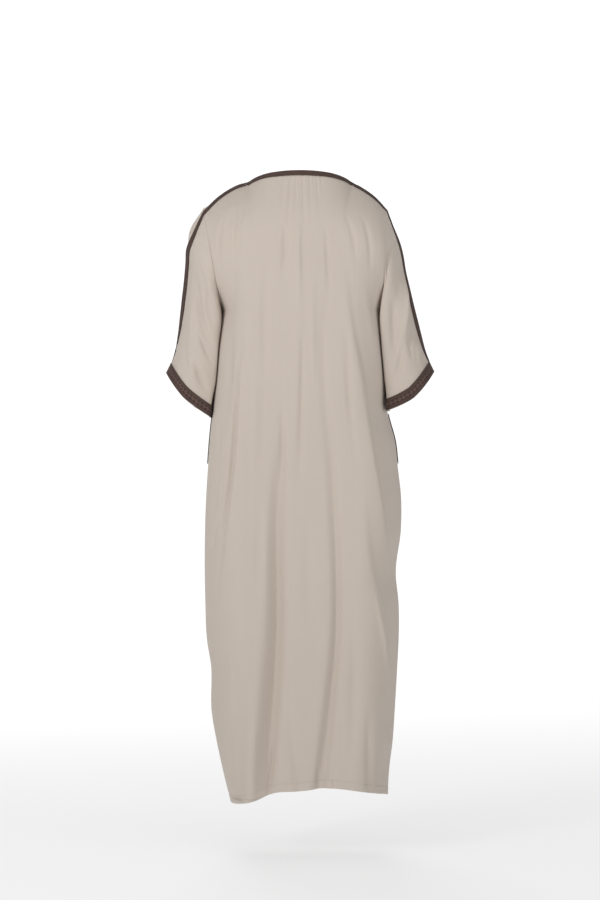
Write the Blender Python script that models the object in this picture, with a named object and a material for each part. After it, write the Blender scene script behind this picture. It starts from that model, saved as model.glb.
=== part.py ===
"""A wide short-sleeved robe as it hangs when worn, as hollow cloth with braid trim.

Metres, +Z up. The front faces -Y and the robe's own left is +X. The origin is where the
robe is held up: midway between the two shoulder points of the neckline.

Each panel is one surface read at (across, fall). Across runs from -1 at the right side seam
to 1 at the left one. Fall runs from 0 on the neckline and shoulder seam, past 1 where the
shoulder has rounded into the body and 2 at the underarm, to 3 at the hem. A sleeve is read
at (turn, along). Turn is 0 on its top seam, 2 at the underarm seam over the back and -2 over
the front. Along runs from 0 at the armhole to 1 at the cuff.
"""

import math
from collections import namedtuple

import bmesh
import bpy
import numpy as np
from mathutils.bvhtree import BVHTree

LEFT, RIGHT = 1, -1
BACK, FRONT = 1, -1

# Cloth wall and the gap between two sewn pieces
WALL = 0.0016
SEAM = 0.0004

# Braid trim: widths, thickness, and the gap to the cloth under it
NECK_BRAID = 0.013
SHOULDER_BRAID = 0.015
CUFF_BRAID = 0.026
POCKET_BRAID = 0.007
BRAID_THICK = 0.0018
BRAID_GAP = 0.0004
BRAID_LEAST_GAP = 0.0003
BRAID_FROM_EDGE = 0.001
BRAID_APART = 0.0008
BRAID_START_SLANT = 0.5
LIFT_ROUNDS = 5

# Body panels: shares of the half width, and heights below the origin
NECK_SHARE = 0.46
FLAT_SHARE = 0.50
FLAT_WIDTH = 0.58
CROWN = 0.015
UNDERARM = 0.30
SHOULDER_DROP = 0.125
SHOULDER_SLOPE = 0.6
NECK_DROP = {BACK: 0.120, FRONT: 0.090}
UNDERARM_X = {LEFT: 0.180, RIGHT: 0.1885}

# Pocket slit in each side seam, as heights below the origin
POCKET_TOP = 0.545
POCKET_FOOT = 0.645

# Sleeve hang: how far the cloth sinks between its top and underarm seams at the cuff,
# and how far its inner side stays off the body
CUFF_SINK = 0.024
SLEEVE_CLEAR = 0.006
SLEEVE_BEND = 0.008

# The braid stiffens the sleeve's top seam into a ridge, this high and this far round
RIDGE = 0.008
RIDGE_TURN = 1 / 6

# How finely each piece is divided
CAP_ROWS = 6
ARMHOLE_ROWS = 5
SKIRT_ROWS = 18
SHOULDER_COLUMNS = 11
FRONT_NECK_COLUMNS = 6
GATHER_COLUMNS = 8
NECK_SIDE_COLUMNS = 4
SLEEVE_ROWS = 11
NECK_BRAID_STEPS = 60
SHOULDER_BRAID_STEPS = 16
SLEEVE_BRAID_STEPS = 26
POCKET_BRAID_STEPS = 28

# Gathers below the back neckline
GATHERS = 8
GATHER_PITCH = 0.012
GATHER_DEPTH = 0.0016
GATHER_LENGTH = 0.10
GATHER_SHARE = 0.165
GATHER_TOP = 0.016

Depth = namedtuple("Depth", "down back front")
DEPTHS = (
    Depth(-0.03, 0.100, 0.085),
    Depth(0.00, 0.105, 0.095),
    Depth(0.10, 0.122, 0.108),
    Depth(0.20, 0.130, 0.118),
    Depth(0.30, 0.134, 0.122),
    Depth(0.45, 0.138, 0.125),
    Depth(0.60, 0.142, 0.128),
    Depth(0.80, 0.149, 0.134),
    Depth(1.00, 0.154, 0.140),
    Depth(1.20, 0.158, 0.148),
    Depth(1.43, 0.163, 0.156),
)

# Each side of the body below the underarm: its widest reach, and how far back the seam lies
Side = namedtuple("Side", "down reach seam_y")
LEFT_SIDE = (
    Side(0.300, UNDERARM_X[LEFT], 0.000),
    Side(0.384, 0.1910, 0.006),
    Side(0.451, 0.1940, 0.014),
    Side(0.536, 0.2010, 0.030),
    Side(0.600, 0.2070, 0.042),
    Side(0.658, 0.2110, 0.046),
    Side(0.736, 0.2160, 0.040),
    Side(0.805, 0.2185, 0.030),
    Side(0.906, 0.2196, 0.016),
    Side(0.971, 0.2185, 0.008),
    Side(1.067, 0.2139, 0.002),
    Side(1.110, 0.2065, 0.000),
    Side(1.228, 0.2036, 0.000),
    Side(1.293, 0.1920, 0.000),
    Side(1.357, 0.1780, 0.000),
    Side(1.430, 0.1600, 0.000),
)
RIGHT_SIDE = (
    Side(0.300, UNDERARM_X[RIGHT], 0.000),
    Side(0.384, 0.1940, 0.000),
    Side(0.451, 0.1980, -0.004),
    Side(0.536, 0.2030, -0.012),
    Side(0.600, 0.2200, -0.018),
    Side(0.658, 0.2266, -0.020),
    Side(0.736, 0.2346, -0.015),
    Side(0.805, 0.2335, -0.008),
    Side(0.906, 0.2215, -0.003),
    Side(0.971, 0.2277, 0.000),
    Side(1.067, 0.2277, 0.000),
    Side(1.110, 0.2254, 0.000),
    Side(1.228, 0.2185, 0.000),
    Side(1.293, 0.2139, 0.000),
    Side(1.357, 0.2060, 0.000),
    Side(1.430, 0.2020, 0.000),
)
SIDES = {LEFT: LEFT_SIDE, RIGHT: RIGHT_SIDE}

# Top edge of the panels: the neckline from its middle, then the shoulder seam
Top = namedtuple("Top", "across x y z")
NECKLINE = {
    BACK: (
        Top(0.00, 0.000, 0.078, 0.018),
        Top(0.15, 0.045, 0.073, 0.016),
        Top(0.30, 0.083, 0.056, 0.010),
        Top(0.40, 0.106, 0.034, 0.002),
    ),
    FRONT: (
        Top(0.00, 0.000, -0.098, -0.088),
        Top(0.15, 0.045, -0.090, -0.079),
        Top(0.30, 0.085, -0.060, -0.052),
        Top(0.40, 0.108, -0.020, -0.018),
    ),
}
SHOULDER = {
    LEFT: (
        Top(0.46, 0.117, 0.017, -0.004),
        Top(0.60, 0.145, 0.022, -0.013),
        Top(0.80, 0.186, 0.032, -0.039),
    ),
    RIGHT: (
        Top(0.46, 0.117, 0.017, -0.004),
        Top(0.60, 0.141, 0.018, -0.017),
        Top(0.80, 0.172, 0.016, -0.039),
    ),
}

# Hem height across the panels
Hem = namedtuple("Hem", "across down")
BACK_HEM = (
    Hem(-1.00, 1.416),
    Hem(-0.70, 1.398),
    Hem(-0.50, 1.388),
    Hem(-0.25, 1.383),
    Hem(0.00, 1.389),
    Hem(0.30, 1.394),
    Hem(0.50, 1.410),
    Hem(0.75, 1.424),
    Hem(1.00, 1.432),
)
FRONT_HEM = (
    Hem(-1.00, 1.416),
    Hem(-0.50, 1.404),
    Hem(0.00, 1.398),
    Hem(0.50, 1.408),
    Hem(1.00, 1.432),
)
HEMS = {BACK: BACK_HEM, FRONT: FRONT_HEM}

# Sleeve rings: top and underarm points, half depths, middle, and the top seam's angle
Ring = namedtuple("Ring", "along top_x top_z low_x low_z back front middle seam")
LEFT_SLEEVE = (
    Ring(0.00, 0.223, -0.062, UNDERARM_X[LEFT], -UNDERARM, 0.088, 0.088, 0.000, 25),
    Ring(0.20, 0.256, -0.118, 0.175, -0.341, 0.087, 0.095, 0.000, 35),
    Ring(0.40, 0.256, -0.185, 0.184, -0.388, 0.077, 0.086, -0.002, 16),
    Ring(0.60, 0.263, -0.262, 0.187, -0.436, 0.070, 0.078, -0.005, 10),
    Ring(0.80, 0.275, -0.350, 0.188, -0.488, 0.070, 0.076, -0.009, -6),
    Ring(0.93, 0.294, -0.412, 0.189, -0.526, 0.073, 0.078, -0.012, -18),
    Ring(1.00, 0.309, -0.444, 0.189, -0.546, 0.075, 0.080, -0.014, -20),
)
RIGHT_SLEEVE = (
    Ring(0.00, 0.200, -0.068, UNDERARM_X[RIGHT], -UNDERARM, 0.088, 0.088, 0.000, 8),
    Ring(0.20, 0.222, -0.131, 0.178, -0.340, 0.086, 0.088, 0.000, 5),
    Ring(0.40, 0.237, -0.205, 0.187, -0.384, 0.076, 0.082, -0.002, -14),
    Ring(0.60, 0.252, -0.278, 0.190, -0.428, 0.072, 0.078, -0.005, 2),
    Ring(0.80, 0.273, -0.352, 0.191, -0.476, 0.072, 0.076, -0.009, 8),
    Ring(0.93, 0.293, -0.407, 0.192, -0.512, 0.074, 0.078, -0.012, 2),
    Ring(1.00, 0.310, -0.441, 0.192, -0.531, 0.076, 0.080, -0.014, -4),
)
SLEEVES = {LEFT: LEFT_SLEEVE, RIGHT: RIGHT_SLEEVE}

# Folds: half widths at both ends, depths at the start, middle and end, and a path of
# (x, distance down). A valley sinks, a ridge rises, and a step lifts its left side.
Fold = namedtuple("Fold", "kind widths depths path")
BACK_FOLDS = (
    Fold("valley", (0.009, 0.009), (0.0, 0.004, 0.0),
         ((0.150, 0.055), (0.163, 0.120), (0.164, 0.180), (0.155, 0.240))),
    Fold("valley", (0.010, 0.012), (0.0, 0.004, 0.0),
         ((0.120, 0.050), (0.148, 0.212), (0.166, 0.383), (0.170, 0.490))),
    Fold("step", (0.012, 0.014), (0.0, -0.006, 0.0),
         ((0.120, 0.262), (0.138, 0.425), (0.153, 0.639), (0.178, 0.851), (0.195, 1.012))),
    Fold("ridge", (0.016, 0.020), (0.0, 0.0025, 0.0),
         ((0.000, 0.050), (0.002, 0.350), (0.004, 0.700))),
    Fold("valley", (0.012, 0.022), (0.0, 0.010, 0.014),
         ((0.034, 0.529), (0.053, 0.754), (0.057, 1.042), (0.067, 1.196), (0.087, 1.415))),
    Fold("valley", (0.010, 0.012), (0.0, 0.004, 0.005),
         ((0.030, 1.180), (0.012, 1.300), (-0.004, 1.415))),
    Fold("valley", (0.010, 0.014), (0.0, 0.005, 0.008),
         ((-0.055, 0.140), (-0.064, 0.250), (-0.055, 0.340), (-0.073, 0.708),
          (-0.080, 1.042), (-0.064, 1.214), (-0.041, 1.415))),
    Fold("step", (0.010, 0.014), (0.0, 0.010, 0.0),
         ((-0.100, 0.160), (-0.120, 0.340), (-0.142, 0.448), (-0.159, 0.554),
          (-0.180, 0.678), (-0.199, 0.774), (-0.212, 0.869))),
    Fold("ridge", (0.009, 0.009), (0.0, 0.004, 0.0),
         ((-0.142, 0.229), (-0.163, 0.340), (-0.178, 0.425), (-0.188, 0.512))),
    Fold("step", (0.012, 0.014), (0.0, 0.007, 0.0),
         ((-0.142, 0.690), (-0.153, 0.793), (-0.172, 0.908), (-0.193, 0.984), (-0.212, 1.157))),
    Fold("ridge", (0.014, 0.018), (0.0, 0.004, 0.006),
         ((0.099, 0.950), (0.102, 1.200), (0.112, 1.415))),
    Fold("valley", (0.012, 0.014), (0.0, 0.004, 0.006),
         ((0.134, 0.950), (0.132, 1.200), (0.140, 1.415))),
)
FRONT_FOLDS = (
    Fold("valley", (0.012, 0.020), (0.0, 0.006, 0.010),
         ((0.070, 0.240), (0.082, 0.600), (0.090, 1.000), (0.078, 1.415))),
    Fold("valley", (0.012, 0.020), (0.0, 0.005, 0.009),
         ((0.020, 0.420), (0.012, 0.800), (0.024, 1.100), (0.030, 1.415))),
    Fold("valley", (0.012, 0.018), (0.0, 0.005, 0.008),
         ((-0.050, 0.260), (-0.046, 0.650), (-0.062, 1.000), (-0.048, 1.415))),
    Fold("valley", (0.012, 0.020), (0.0, 0.006, 0.010),
         ((-0.095, 0.300), (-0.110, 0.650), (-0.128, 1.000), (-0.120, 1.415))),
    Fold("valley", (0.012, 0.016), (0.0, 0.005, 0.007),
         ((0.120, 0.400), (0.140, 0.750), (0.150, 1.100), (0.140, 1.415))),
    Fold("ridge", (0.014, 0.020), (0.0, 0.004, 0.006),
         ((-0.010, 0.250), (-0.018, 0.700), (-0.014, 1.415))),
)
PANEL_FOLDS = {BACK: BACK_FOLDS, FRONT: FRONT_FOLDS}
SLEEVE_FOLDS = {
    LEFT: (
        Fold("valley", (0.008, 0.010), (0.0, 0.005, 0.0),
             ((0.243, 0.190), (0.228, 0.320), (0.200, 0.405))),
        Fold("valley", (0.008, 0.009), (0.0, 0.004, 0.0),
             ((0.228, 0.190), (0.204, 0.320), (0.196, 0.350))),
        Fold("valley", (0.009, 0.009), (0.0, 0.004, 0.0),
             ((0.246, 0.405), (0.230, 0.450), (0.214, 0.495))),
    ),
    RIGHT: (
        Fold("ridge", (0.008, 0.010), (0.0, 0.005, 0.0),
             ((-0.234, 0.200), (-0.238, 0.290), (-0.240, 0.380))),
        Fold("valley", (0.009, 0.009), (0.0, 0.005, 0.0),
             ((-0.212, 0.130), (-0.198, 0.180), (-0.190, 0.260))),
        Fold("valley", (0.009, 0.010), (0.0, 0.004, 0.0),
             ((-0.214, 0.260), (-0.216, 0.340), (-0.222, 0.430))),
    ),
}


def curve(places, values, at):
    """Read a smooth curve through the given values at other places."""
    places = np.asarray(places, float)
    values = np.asarray(values, float)
    slopes = np.gradient(values, places)
    at = np.clip(at, places[0], places[-1])
    left = np.clip(np.searchsorted(places, at, side="right") - 1, 0, len(places) - 2)
    span = places[left + 1] - places[left]
    t = (at - places[left]) / span
    rise = values[left] * (1 + 2 * t) * (1 - t) ** 2 + values[left + 1] * t * t * (3 - 2 * t)
    lean = slopes[left] * t * (1 - t) ** 2 - slopes[left + 1] * t * t * (1 - t)
    return rise + lean * span


def read(table, name, at):
    """Read one named column of a table at places given in its first column."""
    places = [row[0] for row in table]
    values = [getattr(row, name) for row in table]
    return curve(places, values, at)


def ease(share):
    """Go softly from 0 to 1."""
    share = np.clip(share, 0.0, 1.0)
    return share * share * (3 - 2 * share)


def unit(vectors):
    """Give each vector a length of 1."""
    return vectors / np.maximum(np.linalg.norm(vectors, axis=-1, keepdims=True), 1e-12)


def fold_depth(folds, x, down):
    """How far folds move a point outwards, from its place across and its distance down."""
    lift = np.zeros(np.broadcast(x, down).shape)
    for fold in folds:
        path_x = [point[0] for point in fold.path]
        path_down = [point[1] for point in fold.path]
        share = (down - path_down[0]) / (path_down[-1] - path_down[0])
        width = fold.widths[0] + (fold.widths[1] - fold.widths[0]) * np.clip(share, 0, 1)
        depth = curve((0.0, 0.5, 1.0), fold.depths, share) * ease(share / 0.15)
        depth = np.where((share < 0) | (share > 1), 0.0, depth)
        offset = (x - curve(path_down, path_x, down)) / width
        if fold.kind == "step":
            lift = lift + depth * offset / (1 + offset * offset)
        else:
            sign = 1.0 if fold.kind == "ridge" else -1.0
            lift = lift + sign * depth * np.exp(-offset * offset)
    return lift


def gather_depth(x, down):
    """Small upright gathers below the back neckline."""
    reach = GATHERS * GATHER_PITCH / 2
    fade = ease((reach + 0.004 - np.abs(x)) / 0.010) * ease((down + GATHER_TOP) / 0.020)
    fade = fade * ease((GATHER_LENGTH - down) / GATHER_LENGTH)
    return GATHER_DEPTH * fade * np.cos(2 * math.pi * x / GATHER_PITCH)


def body_side(hand, y, down):
    """How far out the side of the body reaches, at a place from front to back."""
    table = SIDES[hand]
    seam_y = read(table, "seam_y", down)
    depth = np.where(y >= seam_y, read(DEPTHS, "back", down) - seam_y,
                     read(DEPTHS, "front", down) + seam_y)
    rounding = 1 - np.clip(np.abs(y - seam_y) / depth, 0, 1) ** 2
    return read(table, "reach", down) * (FLAT_WIDTH + (1 - FLAT_WIDTH) * np.sqrt(rounding))


def sleeve_form(hand, turn, along):
    """The sleeve's smooth form, without folds."""
    table = SLEEVES[hand]
    seam = np.radians(read(table, "seam", along))
    angle = seam + np.where(turn >= 0, math.pi - seam, math.pi + seam) * turn / 2
    top_x, top_z = read(table, "top_x", along), read(table, "top_z", along)
    low_x, low_z = read(table, "low_x", along), read(table, "low_z", along)
    depth = np.where(np.sin(angle) >= 0, read(table, "back", along), read(table, "front", along))
    sink = CUFF_SINK * along ** 2 * np.sin(angle) ** 2
    x = (top_x + low_x) / 2 + (top_x - low_x) / 2 * np.cos(angle)
    y = read(table, "middle", along) + depth * np.sin(angle)
    z = (top_z + low_z) / 2 + (top_z - low_z) / 2 * np.cos(angle) - sink
    away = ease(along / 0.25)
    flush = away * ease((np.abs(turn) - 1.05 + 0.15 * ease((along - 0.2) / 0.4)) / 0.45)
    z = z + (low_z - z) * flush
    wall = body_side(hand, y, -z) + SLEEVE_CLEAR * away
    ridge = RIDGE * ease((along - 0.1) / 0.25) * ease((1 - along) / 0.3)
    x = x + ridge * np.clip(1 - np.abs(turn) / RIDGE_TURN, 0, 1)
    x = x - np.maximum(x - wall, 0) * flush
    x = (x + wall + np.sqrt((x - wall) ** 2 + (SLEEVE_BEND * away) ** 2)) / 2
    return np.stack(np.broadcast_arrays(hand * x, y, z), axis=-1)


def top_edge(side, across):
    """Neckline and shoulder seam of a panel, from one armhole to the other."""
    parts = []
    for name in ("x", "y", "z"):
        mirror = -1 if name == "x" else 1
        neck = NECKLINE[side] + SHOULDER[LEFT][:1]
        places = [-row.across for row in neck[:0:-1]] + [row.across for row in neck]
        values = [mirror * getattr(row, name) for row in neck[:0:-1]]
        values += [getattr(row, name) for row in neck]
        value = curve(places, values, across)
        for hand in (LEFT, RIGHT):
            end = sleeve_form(hand, np.zeros(1), np.zeros(1))[0] * (hand, 1, 1)
            rows = SHOULDER[hand] + (Top(1.0, *end),)
            seam = read(rows, name, np.abs(across)) * (hand if name == "x" else 1)
            value = np.where(hand * across > NECK_SHARE, seam, value)
        parts.append(value)
    return np.stack(parts, axis=-1)


def panel_form(side, across, fall):
    """A body panel's smooth form, and the armhole seam beside each point."""
    size = np.abs(across)
    top = top_edge(side, across)
    to_neck = 1 - ease(size / NECK_SHARE)
    drop = SHOULDER_DROP + (NECK_DROP[side] - SHOULDER_DROP) * to_neck
    cap = np.clip(fall, 0, 1)
    rounded = SHOULDER_SLOPE * cap + (1 - SHOULDER_SLOPE) * (1 - np.cos(cap * math.pi / 2))
    sinking = to_neck * cap + (1 - to_neck) * rounded
    z = top[..., 2] - drop * sinking
    z = z + (-UNDERARM - z) * np.clip(fall - 1, 0, 1)
    z = z + (-read(HEMS[side], "down", across) + UNDERARM) * np.clip(fall - 2, 0, 1)

    flat = np.clip(size / FLAT_SHARE, 0, 1)
    rounding = np.clip((size - FLAT_SHARE) / (1 - FLAT_SHARE), 0, 1) * math.pi / 2
    width = FLAT_WIDTH * flat + (1 - FLAT_WIDTH) * np.sin(rounding)
    depth = side * read(DEPTHS, "back" if side == BACK else "front", -z)
    edge = np.zeros(z.shape + (3,))
    x, y = np.zeros(z.shape), np.zeros(z.shape)
    for hand in (RIGHT, LEFT):
        here = (across >= 0) == (hand == LEFT)
        armhole = sleeve_form(hand, side * np.clip(fall, 0, 2), np.zeros_like(fall))
        reach = np.where(fall > 2, read(SIDES[hand], "reach", -z), hand * armhole[..., 0])
        seam_y = np.where(fall > 2, read(SIDES[hand], "seam_y", -z), armhole[..., 1])
        x = np.where(here, hand * reach * width, x)
        y = np.where(here, seam_y + (depth - seam_y) * np.cos(rounding), y)
        edge = np.where(here[..., None], armhole, edge)
    y = y - side * CROWN * size ** 2 * (1 - size ** 4)

    swing = to_neck * (1 - (1 - cap) ** 2) + (1 - to_neck) * np.sin(cap * math.pi / 2)
    x = top[..., 0] + (x - top[..., 0]) * ease(cap)
    y = top[..., 1] + (y - top[..., 1]) * swing
    return np.stack([x, y, z], axis=-1), edge


def panel_on_seams(side, across, fall):
    """The smooth panel, drawn to the armhole seam at its side edges."""
    across, fall = np.broadcast_arrays(np.asarray(across, float), np.asarray(fall, float))
    point, edge = panel_form(side, across, fall)
    end, _ = panel_form(side, np.where(across >= 0, 1.0, -1.0), fall)
    share = np.clip((np.abs(across) - FLAT_SHARE) / (1 - FLAT_SHARE), 0, 1) ** 2
    pull = (share * (fall <= 2))[..., None]
    return point + pull * (edge - end)


def panel_normal(side, across, fall):
    """Outward direction of the smooth panel."""
    step = 0.004
    a0, a1 = np.clip(across - step, -1, 1), np.clip(across + step, -1, 1)
    f0, f1 = np.clip(fall - step, 0, 3), np.clip(fall + step, 0, 3)
    over = panel_on_seams(side, a1, fall) - panel_on_seams(side, a0, fall)
    down = panel_on_seams(side, across, f1) - panel_on_seams(side, across, f0)
    return side * unit(np.cross(over, down))


def panel_surface(side, across, fall):
    """The panel's outer surface with its folds."""
    across, fall = np.broadcast_arrays(np.asarray(across, float), np.asarray(fall, float))
    point = panel_on_seams(side, across, fall)
    x, down = point[..., 0], -point[..., 2]
    lift = fold_depth(PANEL_FOLDS[side], x, down)
    if side == BACK:
        lift = lift + gather_depth(x, down)
    lift = lift * ease((1 - np.abs(across)) / 0.14) * ease(fall / 0.12)
    return point + lift[..., None] * panel_normal(side, across, fall)


def sleeve_surface(hand, turn, along):
    """The sleeve's outer surface with its folds."""
    turn, along = np.broadcast_arrays(np.asarray(turn, float), np.asarray(along, float))
    point = sleeve_form(hand, turn, along)
    step = 0.01
    over = sleeve_form(hand, turn + step, along) - sleeve_form(hand, turn - step, along)
    out = sleeve_form(hand, turn, along + step) - sleeve_form(hand, turn, along - step)
    normal = -hand * unit(np.cross(over, out))
    lift = fold_depth(SLEEVE_FOLDS[hand], point[..., 0], -point[..., 2])
    size = np.abs(turn)
    lift = lift * ease(size / 0.3) * ease((2 - size) / 0.3) * ease(along / 0.15)
    lift = lift * np.where(turn > 0, 1.0, 0.7)
    return point + lift[..., None] * normal


def grid_normals(grid, sign, ring=False):
    """Outward directions of a grid of points."""
    if ring:
        grid = np.concatenate([grid[:, -2:-1], grid, grid[:, 1:2]], axis=1)
    down, over = np.gradient(grid, axis=0), np.gradient(grid, axis=1)
    normals = sign * unit(np.cross(over, down))
    return normals[:, 1:-1] if ring else normals


def material(name, colour, roughness):
    """A plain finish for one kind of trim or cloth."""
    finish = bpy.data.materials.new(name)
    finish.use_nodes = True
    shader = finish.node_tree.nodes["Principled BSDF"]
    shader.inputs["Base Color"].default_value = (*colour, 1.0)
    shader.inputs["Roughness"].default_value = roughness
    shader.inputs["Metallic"].default_value = 0.0
    return finish


def sheet_solid(name, outer, inner, finish, parent, ring=False):
    """Make one closed wall between two grids of points. Gives its outer triangles."""
    rows, columns = outer.shape[:2]
    mesh = bmesh.new()
    bmesh.ops.create_grid(mesh, x_segments=columns - 1, y_segments=rows - 1, size=1.0)
    place = mesh.verts.layers.int.new("place")
    mesh.verts.ensure_lookup_table()
    outer_points, inner_points = outer.reshape(-1, 3), inner.reshape(-1, 3)
    for index, vert in enumerate(mesh.verts):
        vert.co = outer_points[index]
        vert[place] = index
    if ring:
        bmesh.ops.remove_doubles(mesh, verts=mesh.verts[:], dist=1e-7)
    bmesh.ops.triangulate(mesh, faces=mesh.faces[:], quad_method="SHORT_EDGE")
    skin = []
    for face in mesh.faces:
        face.normal_update()
        outwards = outer_points[face.verts[0][place]] - inner_points[face.verts[0][place]]
        corners = [vert.co.copy() for vert in face.verts]
        skin.append(corners if face.normal.dot(outwards) > 0 else corners[::-1])
    grown = bmesh.ops.extrude_face_region(mesh, geom=mesh.faces[:], use_keep_orig=True)
    for vert in grown["geom"]:
        if isinstance(vert, bmesh.types.BMVert):
            vert.co = inner_points[vert[place]]
    bmesh.ops.recalc_face_normals(mesh, faces=mesh.faces[:])
    if mesh.calc_volume(signed=True) < 0:
        bmesh.ops.reverse_faces(mesh, faces=mesh.faces[:])
    data = bpy.data.meshes.new(name)
    mesh.to_mesh(data)
    mesh.free()
    data.materials.append(finish)
    data.shade_smooth()
    piece = bpy.data.objects.new(name, data)
    bpy.context.collection.objects.link(piece)
    piece.parent = parent
    return skin


def panel_columns(side):
    """Places across a panel: finer below the gathers, the same on both panels' shoulders."""
    if side == BACK:
        near = np.linspace(0, GATHER_SHARE, GATHER_COLUMNS + 1)
        far = np.linspace(GATHER_SHARE, NECK_SHARE, NECK_SIDE_COLUMNS + 1)[1:]
        neck = np.concatenate([near, far])
    else:
        neck = np.linspace(0, NECK_SHARE, FRONT_NECK_COLUMNS + 1)
    shoulder = np.linspace(NECK_SHARE, 1.0, SHOULDER_COLUMNS + 1)[1:]
    half = np.concatenate([neck, shoulder])
    return np.concatenate([-half[:0:-1], half])


def panel_rows():
    """Places down a panel, shared by both panels and, above the underarm, the sleeves."""
    cap = np.linspace(0, 1, CAP_ROWS + 1)
    armhole = np.linspace(1, 2, ARMHOLE_ROWS + 1)[1:]
    skirt = np.linspace(2, 3, SKIRT_ROWS + 1)[1:]
    return np.concatenate([cap, armhole, skirt])


def sleeve_turns():
    """Places round a sleeve, the same as the panels' rows beside its armhole."""
    armhole = panel_rows()[:CAP_ROWS + ARMHOLE_ROWS + 1]
    return np.concatenate([-armhole[:0:-1], armhole])


def sew_normals(panels, sleeves):
    """Let pieces that meet at a seam share its outward direction."""
    columns = {side: panel_columns(side) for side in (BACK, FRONT)}
    shoulder = {side: np.abs(columns[side]) >= NECK_SHARE - 1e-9 for side in (BACK, FRONT)}
    back, front = panels[BACK][1], panels[FRONT][1]
    seam = unit(back[0, shoulder[BACK]] + front[0, shoulder[FRONT]])
    back[0, shoulder[BACK]] = seam
    front[0, shoulder[FRONT]] = seam
    for edge in (0, -1):
        seam = unit(back[CAP_ROWS + ARMHOLE_ROWS:, edge] + front[CAP_ROWS + ARMHOLE_ROWS:, edge])
        back[CAP_ROWS + ARMHOLE_ROWS:, edge] = seam
        front[CAP_ROWS + ARMHOLE_ROWS:, edge] = seam
    last = CAP_ROWS + ARMHOLE_ROWS
    for hand, edge in ((RIGHT, 0), (LEFT, -1)):
        ring = sleeves[hand][1][0]
        for side, body in ((FRONT, front), (BACK, back)):
            for row in range(last + 1):
                column = last + side * row
                agree = ease((np.dot(body[row, edge], ring[column]) + 0.3) / 0.4)
                both = body[row, edge] + agree * ring[column], ring[column] + agree * body[row, edge]
                body[row, edge], ring[column] = unit(both[0]), unit(both[1])
        ring[0] = ring[-1]


def draw_back(edge, inside):
    """Move a sewn edge half a seam's gap into its own piece, square to the seam."""
    along = unit(np.gradient(edge, axis=0))
    pull = inside - edge
    pull = pull - (pull * along).sum(axis=-1, keepdims=True) * along
    return edge + unit(pull) * SEAM / 2


def part_edges(grid, at_top, at_sides):
    """Draw a grid's sewn edges back so that pieces stay a seam's gap apart."""
    parted = grid.copy()
    if at_sides:
        parted[:, 0] = draw_back(grid[:, 0], grid[:, 1])
        parted[:, -1] = draw_back(grid[:, -1], grid[:, -2])
    for run in at_top:
        parted[0, run] = draw_back(grid[0, run], grid[1, run])
    return parted


def make_cloth(finish, parent):
    """Two body panels and two sleeves. Gives the cloth's outer triangles, for the trim."""
    rows = panel_rows()
    panels, sleeves = {}, {}
    for side in (BACK, FRONT):
        across, fall = np.meshgrid(panel_columns(side), rows)
        grid = panel_surface(side, across, fall)
        panels[side] = (grid, grid_normals(grid, side))
    for hand in (LEFT, RIGHT):
        turn, along = np.meshgrid(sleeve_turns(), np.linspace(0, 1, SLEEVE_ROWS + 1))
        grid = sleeve_surface(hand, turn, along)
        sleeves[hand] = (grid, grid_normals(grid, -hand, ring=True))
    sew_normals(panels, sleeves)

    skin = []
    for side, name in ((BACK, "back_panel"), (FRONT, "front_panel")):
        grid, normals = panels[side]
        shoulders = slice(0, SHOULDER_COLUMNS + 1), slice(-SHOULDER_COLUMNS - 1, None)
        outer = part_edges(grid, shoulders, True)
        skin += sheet_solid(name, outer, outer - WALL * normals, finish, parent)
    for hand, name in ((LEFT, "sleeve_left"), (RIGHT, "sleeve_right")):
        grid, normals = sleeves[hand]
        outer = part_edges(grid, (slice(None),), False)
        skin += sheet_solid(name, outer, outer - WALL * normals, finish, parent, ring=True)
    return skin


def surface_tree(skin):
    """A tree for finding the nearest place on the cloth."""
    points = [corner for face in skin for corner in face]
    faces = [(start, start + 1, start + 2) for start in range(0, len(points), 3)]
    return BVHTree.FromPolygons(points, faces, all_triangles=True)


def raise_clear(tree, lower, normals):
    """How much further each point of a braid's underside must rise to clear the cloth."""
    more = np.zeros(lower.shape[:2])
    share = np.linspace(0, 1, 9)
    along, over = share[:, None, None], share[None, :, None]
    for row in range(lower.shape[0] - 1):
        for column in range(lower.shape[1] - 1):
            here = (slice(row, row + 2), slice(column, column + 2))
            (a, b), (c, d) = lower[here]
            points = ((a * (1 - over) + b * over) * (1 - along)
                      + (c * (1 - over) + d * over) * along).reshape(-1, 3)
            on_cloth = np.array([tree.find_nearest(point)[0] for point in points])
            facing = unit(normals[here].mean(axis=(0, 1)))
            least = ((points - on_cloth) @ facing).min()
            more[here] = np.maximum(more[here], BRAID_LEAST_GAP - least)
    return more


def lay_braid(name, grid, tree, finish, parent, ring):
    """Lay a braid on the cloth: put its points on the surface and lift them clear of it."""
    found = [[tree.find_nearest(point) for point in row] for row in grid]
    on_cloth = np.array([[near[0] for near in row] for row in found])
    facing = np.array([[near[1] for near in row] for row in found])
    looped = on_cloth
    if ring:
        looped = np.concatenate([on_cloth[-2:-1], on_cloth, on_cloth[1:2]], axis=0)
    normals = unit(np.cross(np.gradient(looped, axis=1), np.gradient(looped, axis=0)))
    normals = normals[1:-1] if ring else normals
    normals = normals * np.sign((normals * facing).sum(axis=-1, keepdims=True))
    lift = np.full(grid.shape[:2], BRAID_GAP)
    for _ in range(LIFT_ROUNDS):
        more = raise_clear(tree, on_cloth + normals * lift[..., None], normals)
        if ring:
            more[0] = more[-1] = np.maximum(more[0], more[-1])
        lift = lift + more
    lower = on_cloth + normals * lift[..., None]
    upper = lower + normals * BRAID_THICK
    if ring:
        upper, lower = upper.transpose(1, 0, 2), lower.transpose(1, 0, 2)
    return sheet_solid(name, upper, lower, finish, parent, ring=ring)


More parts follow.
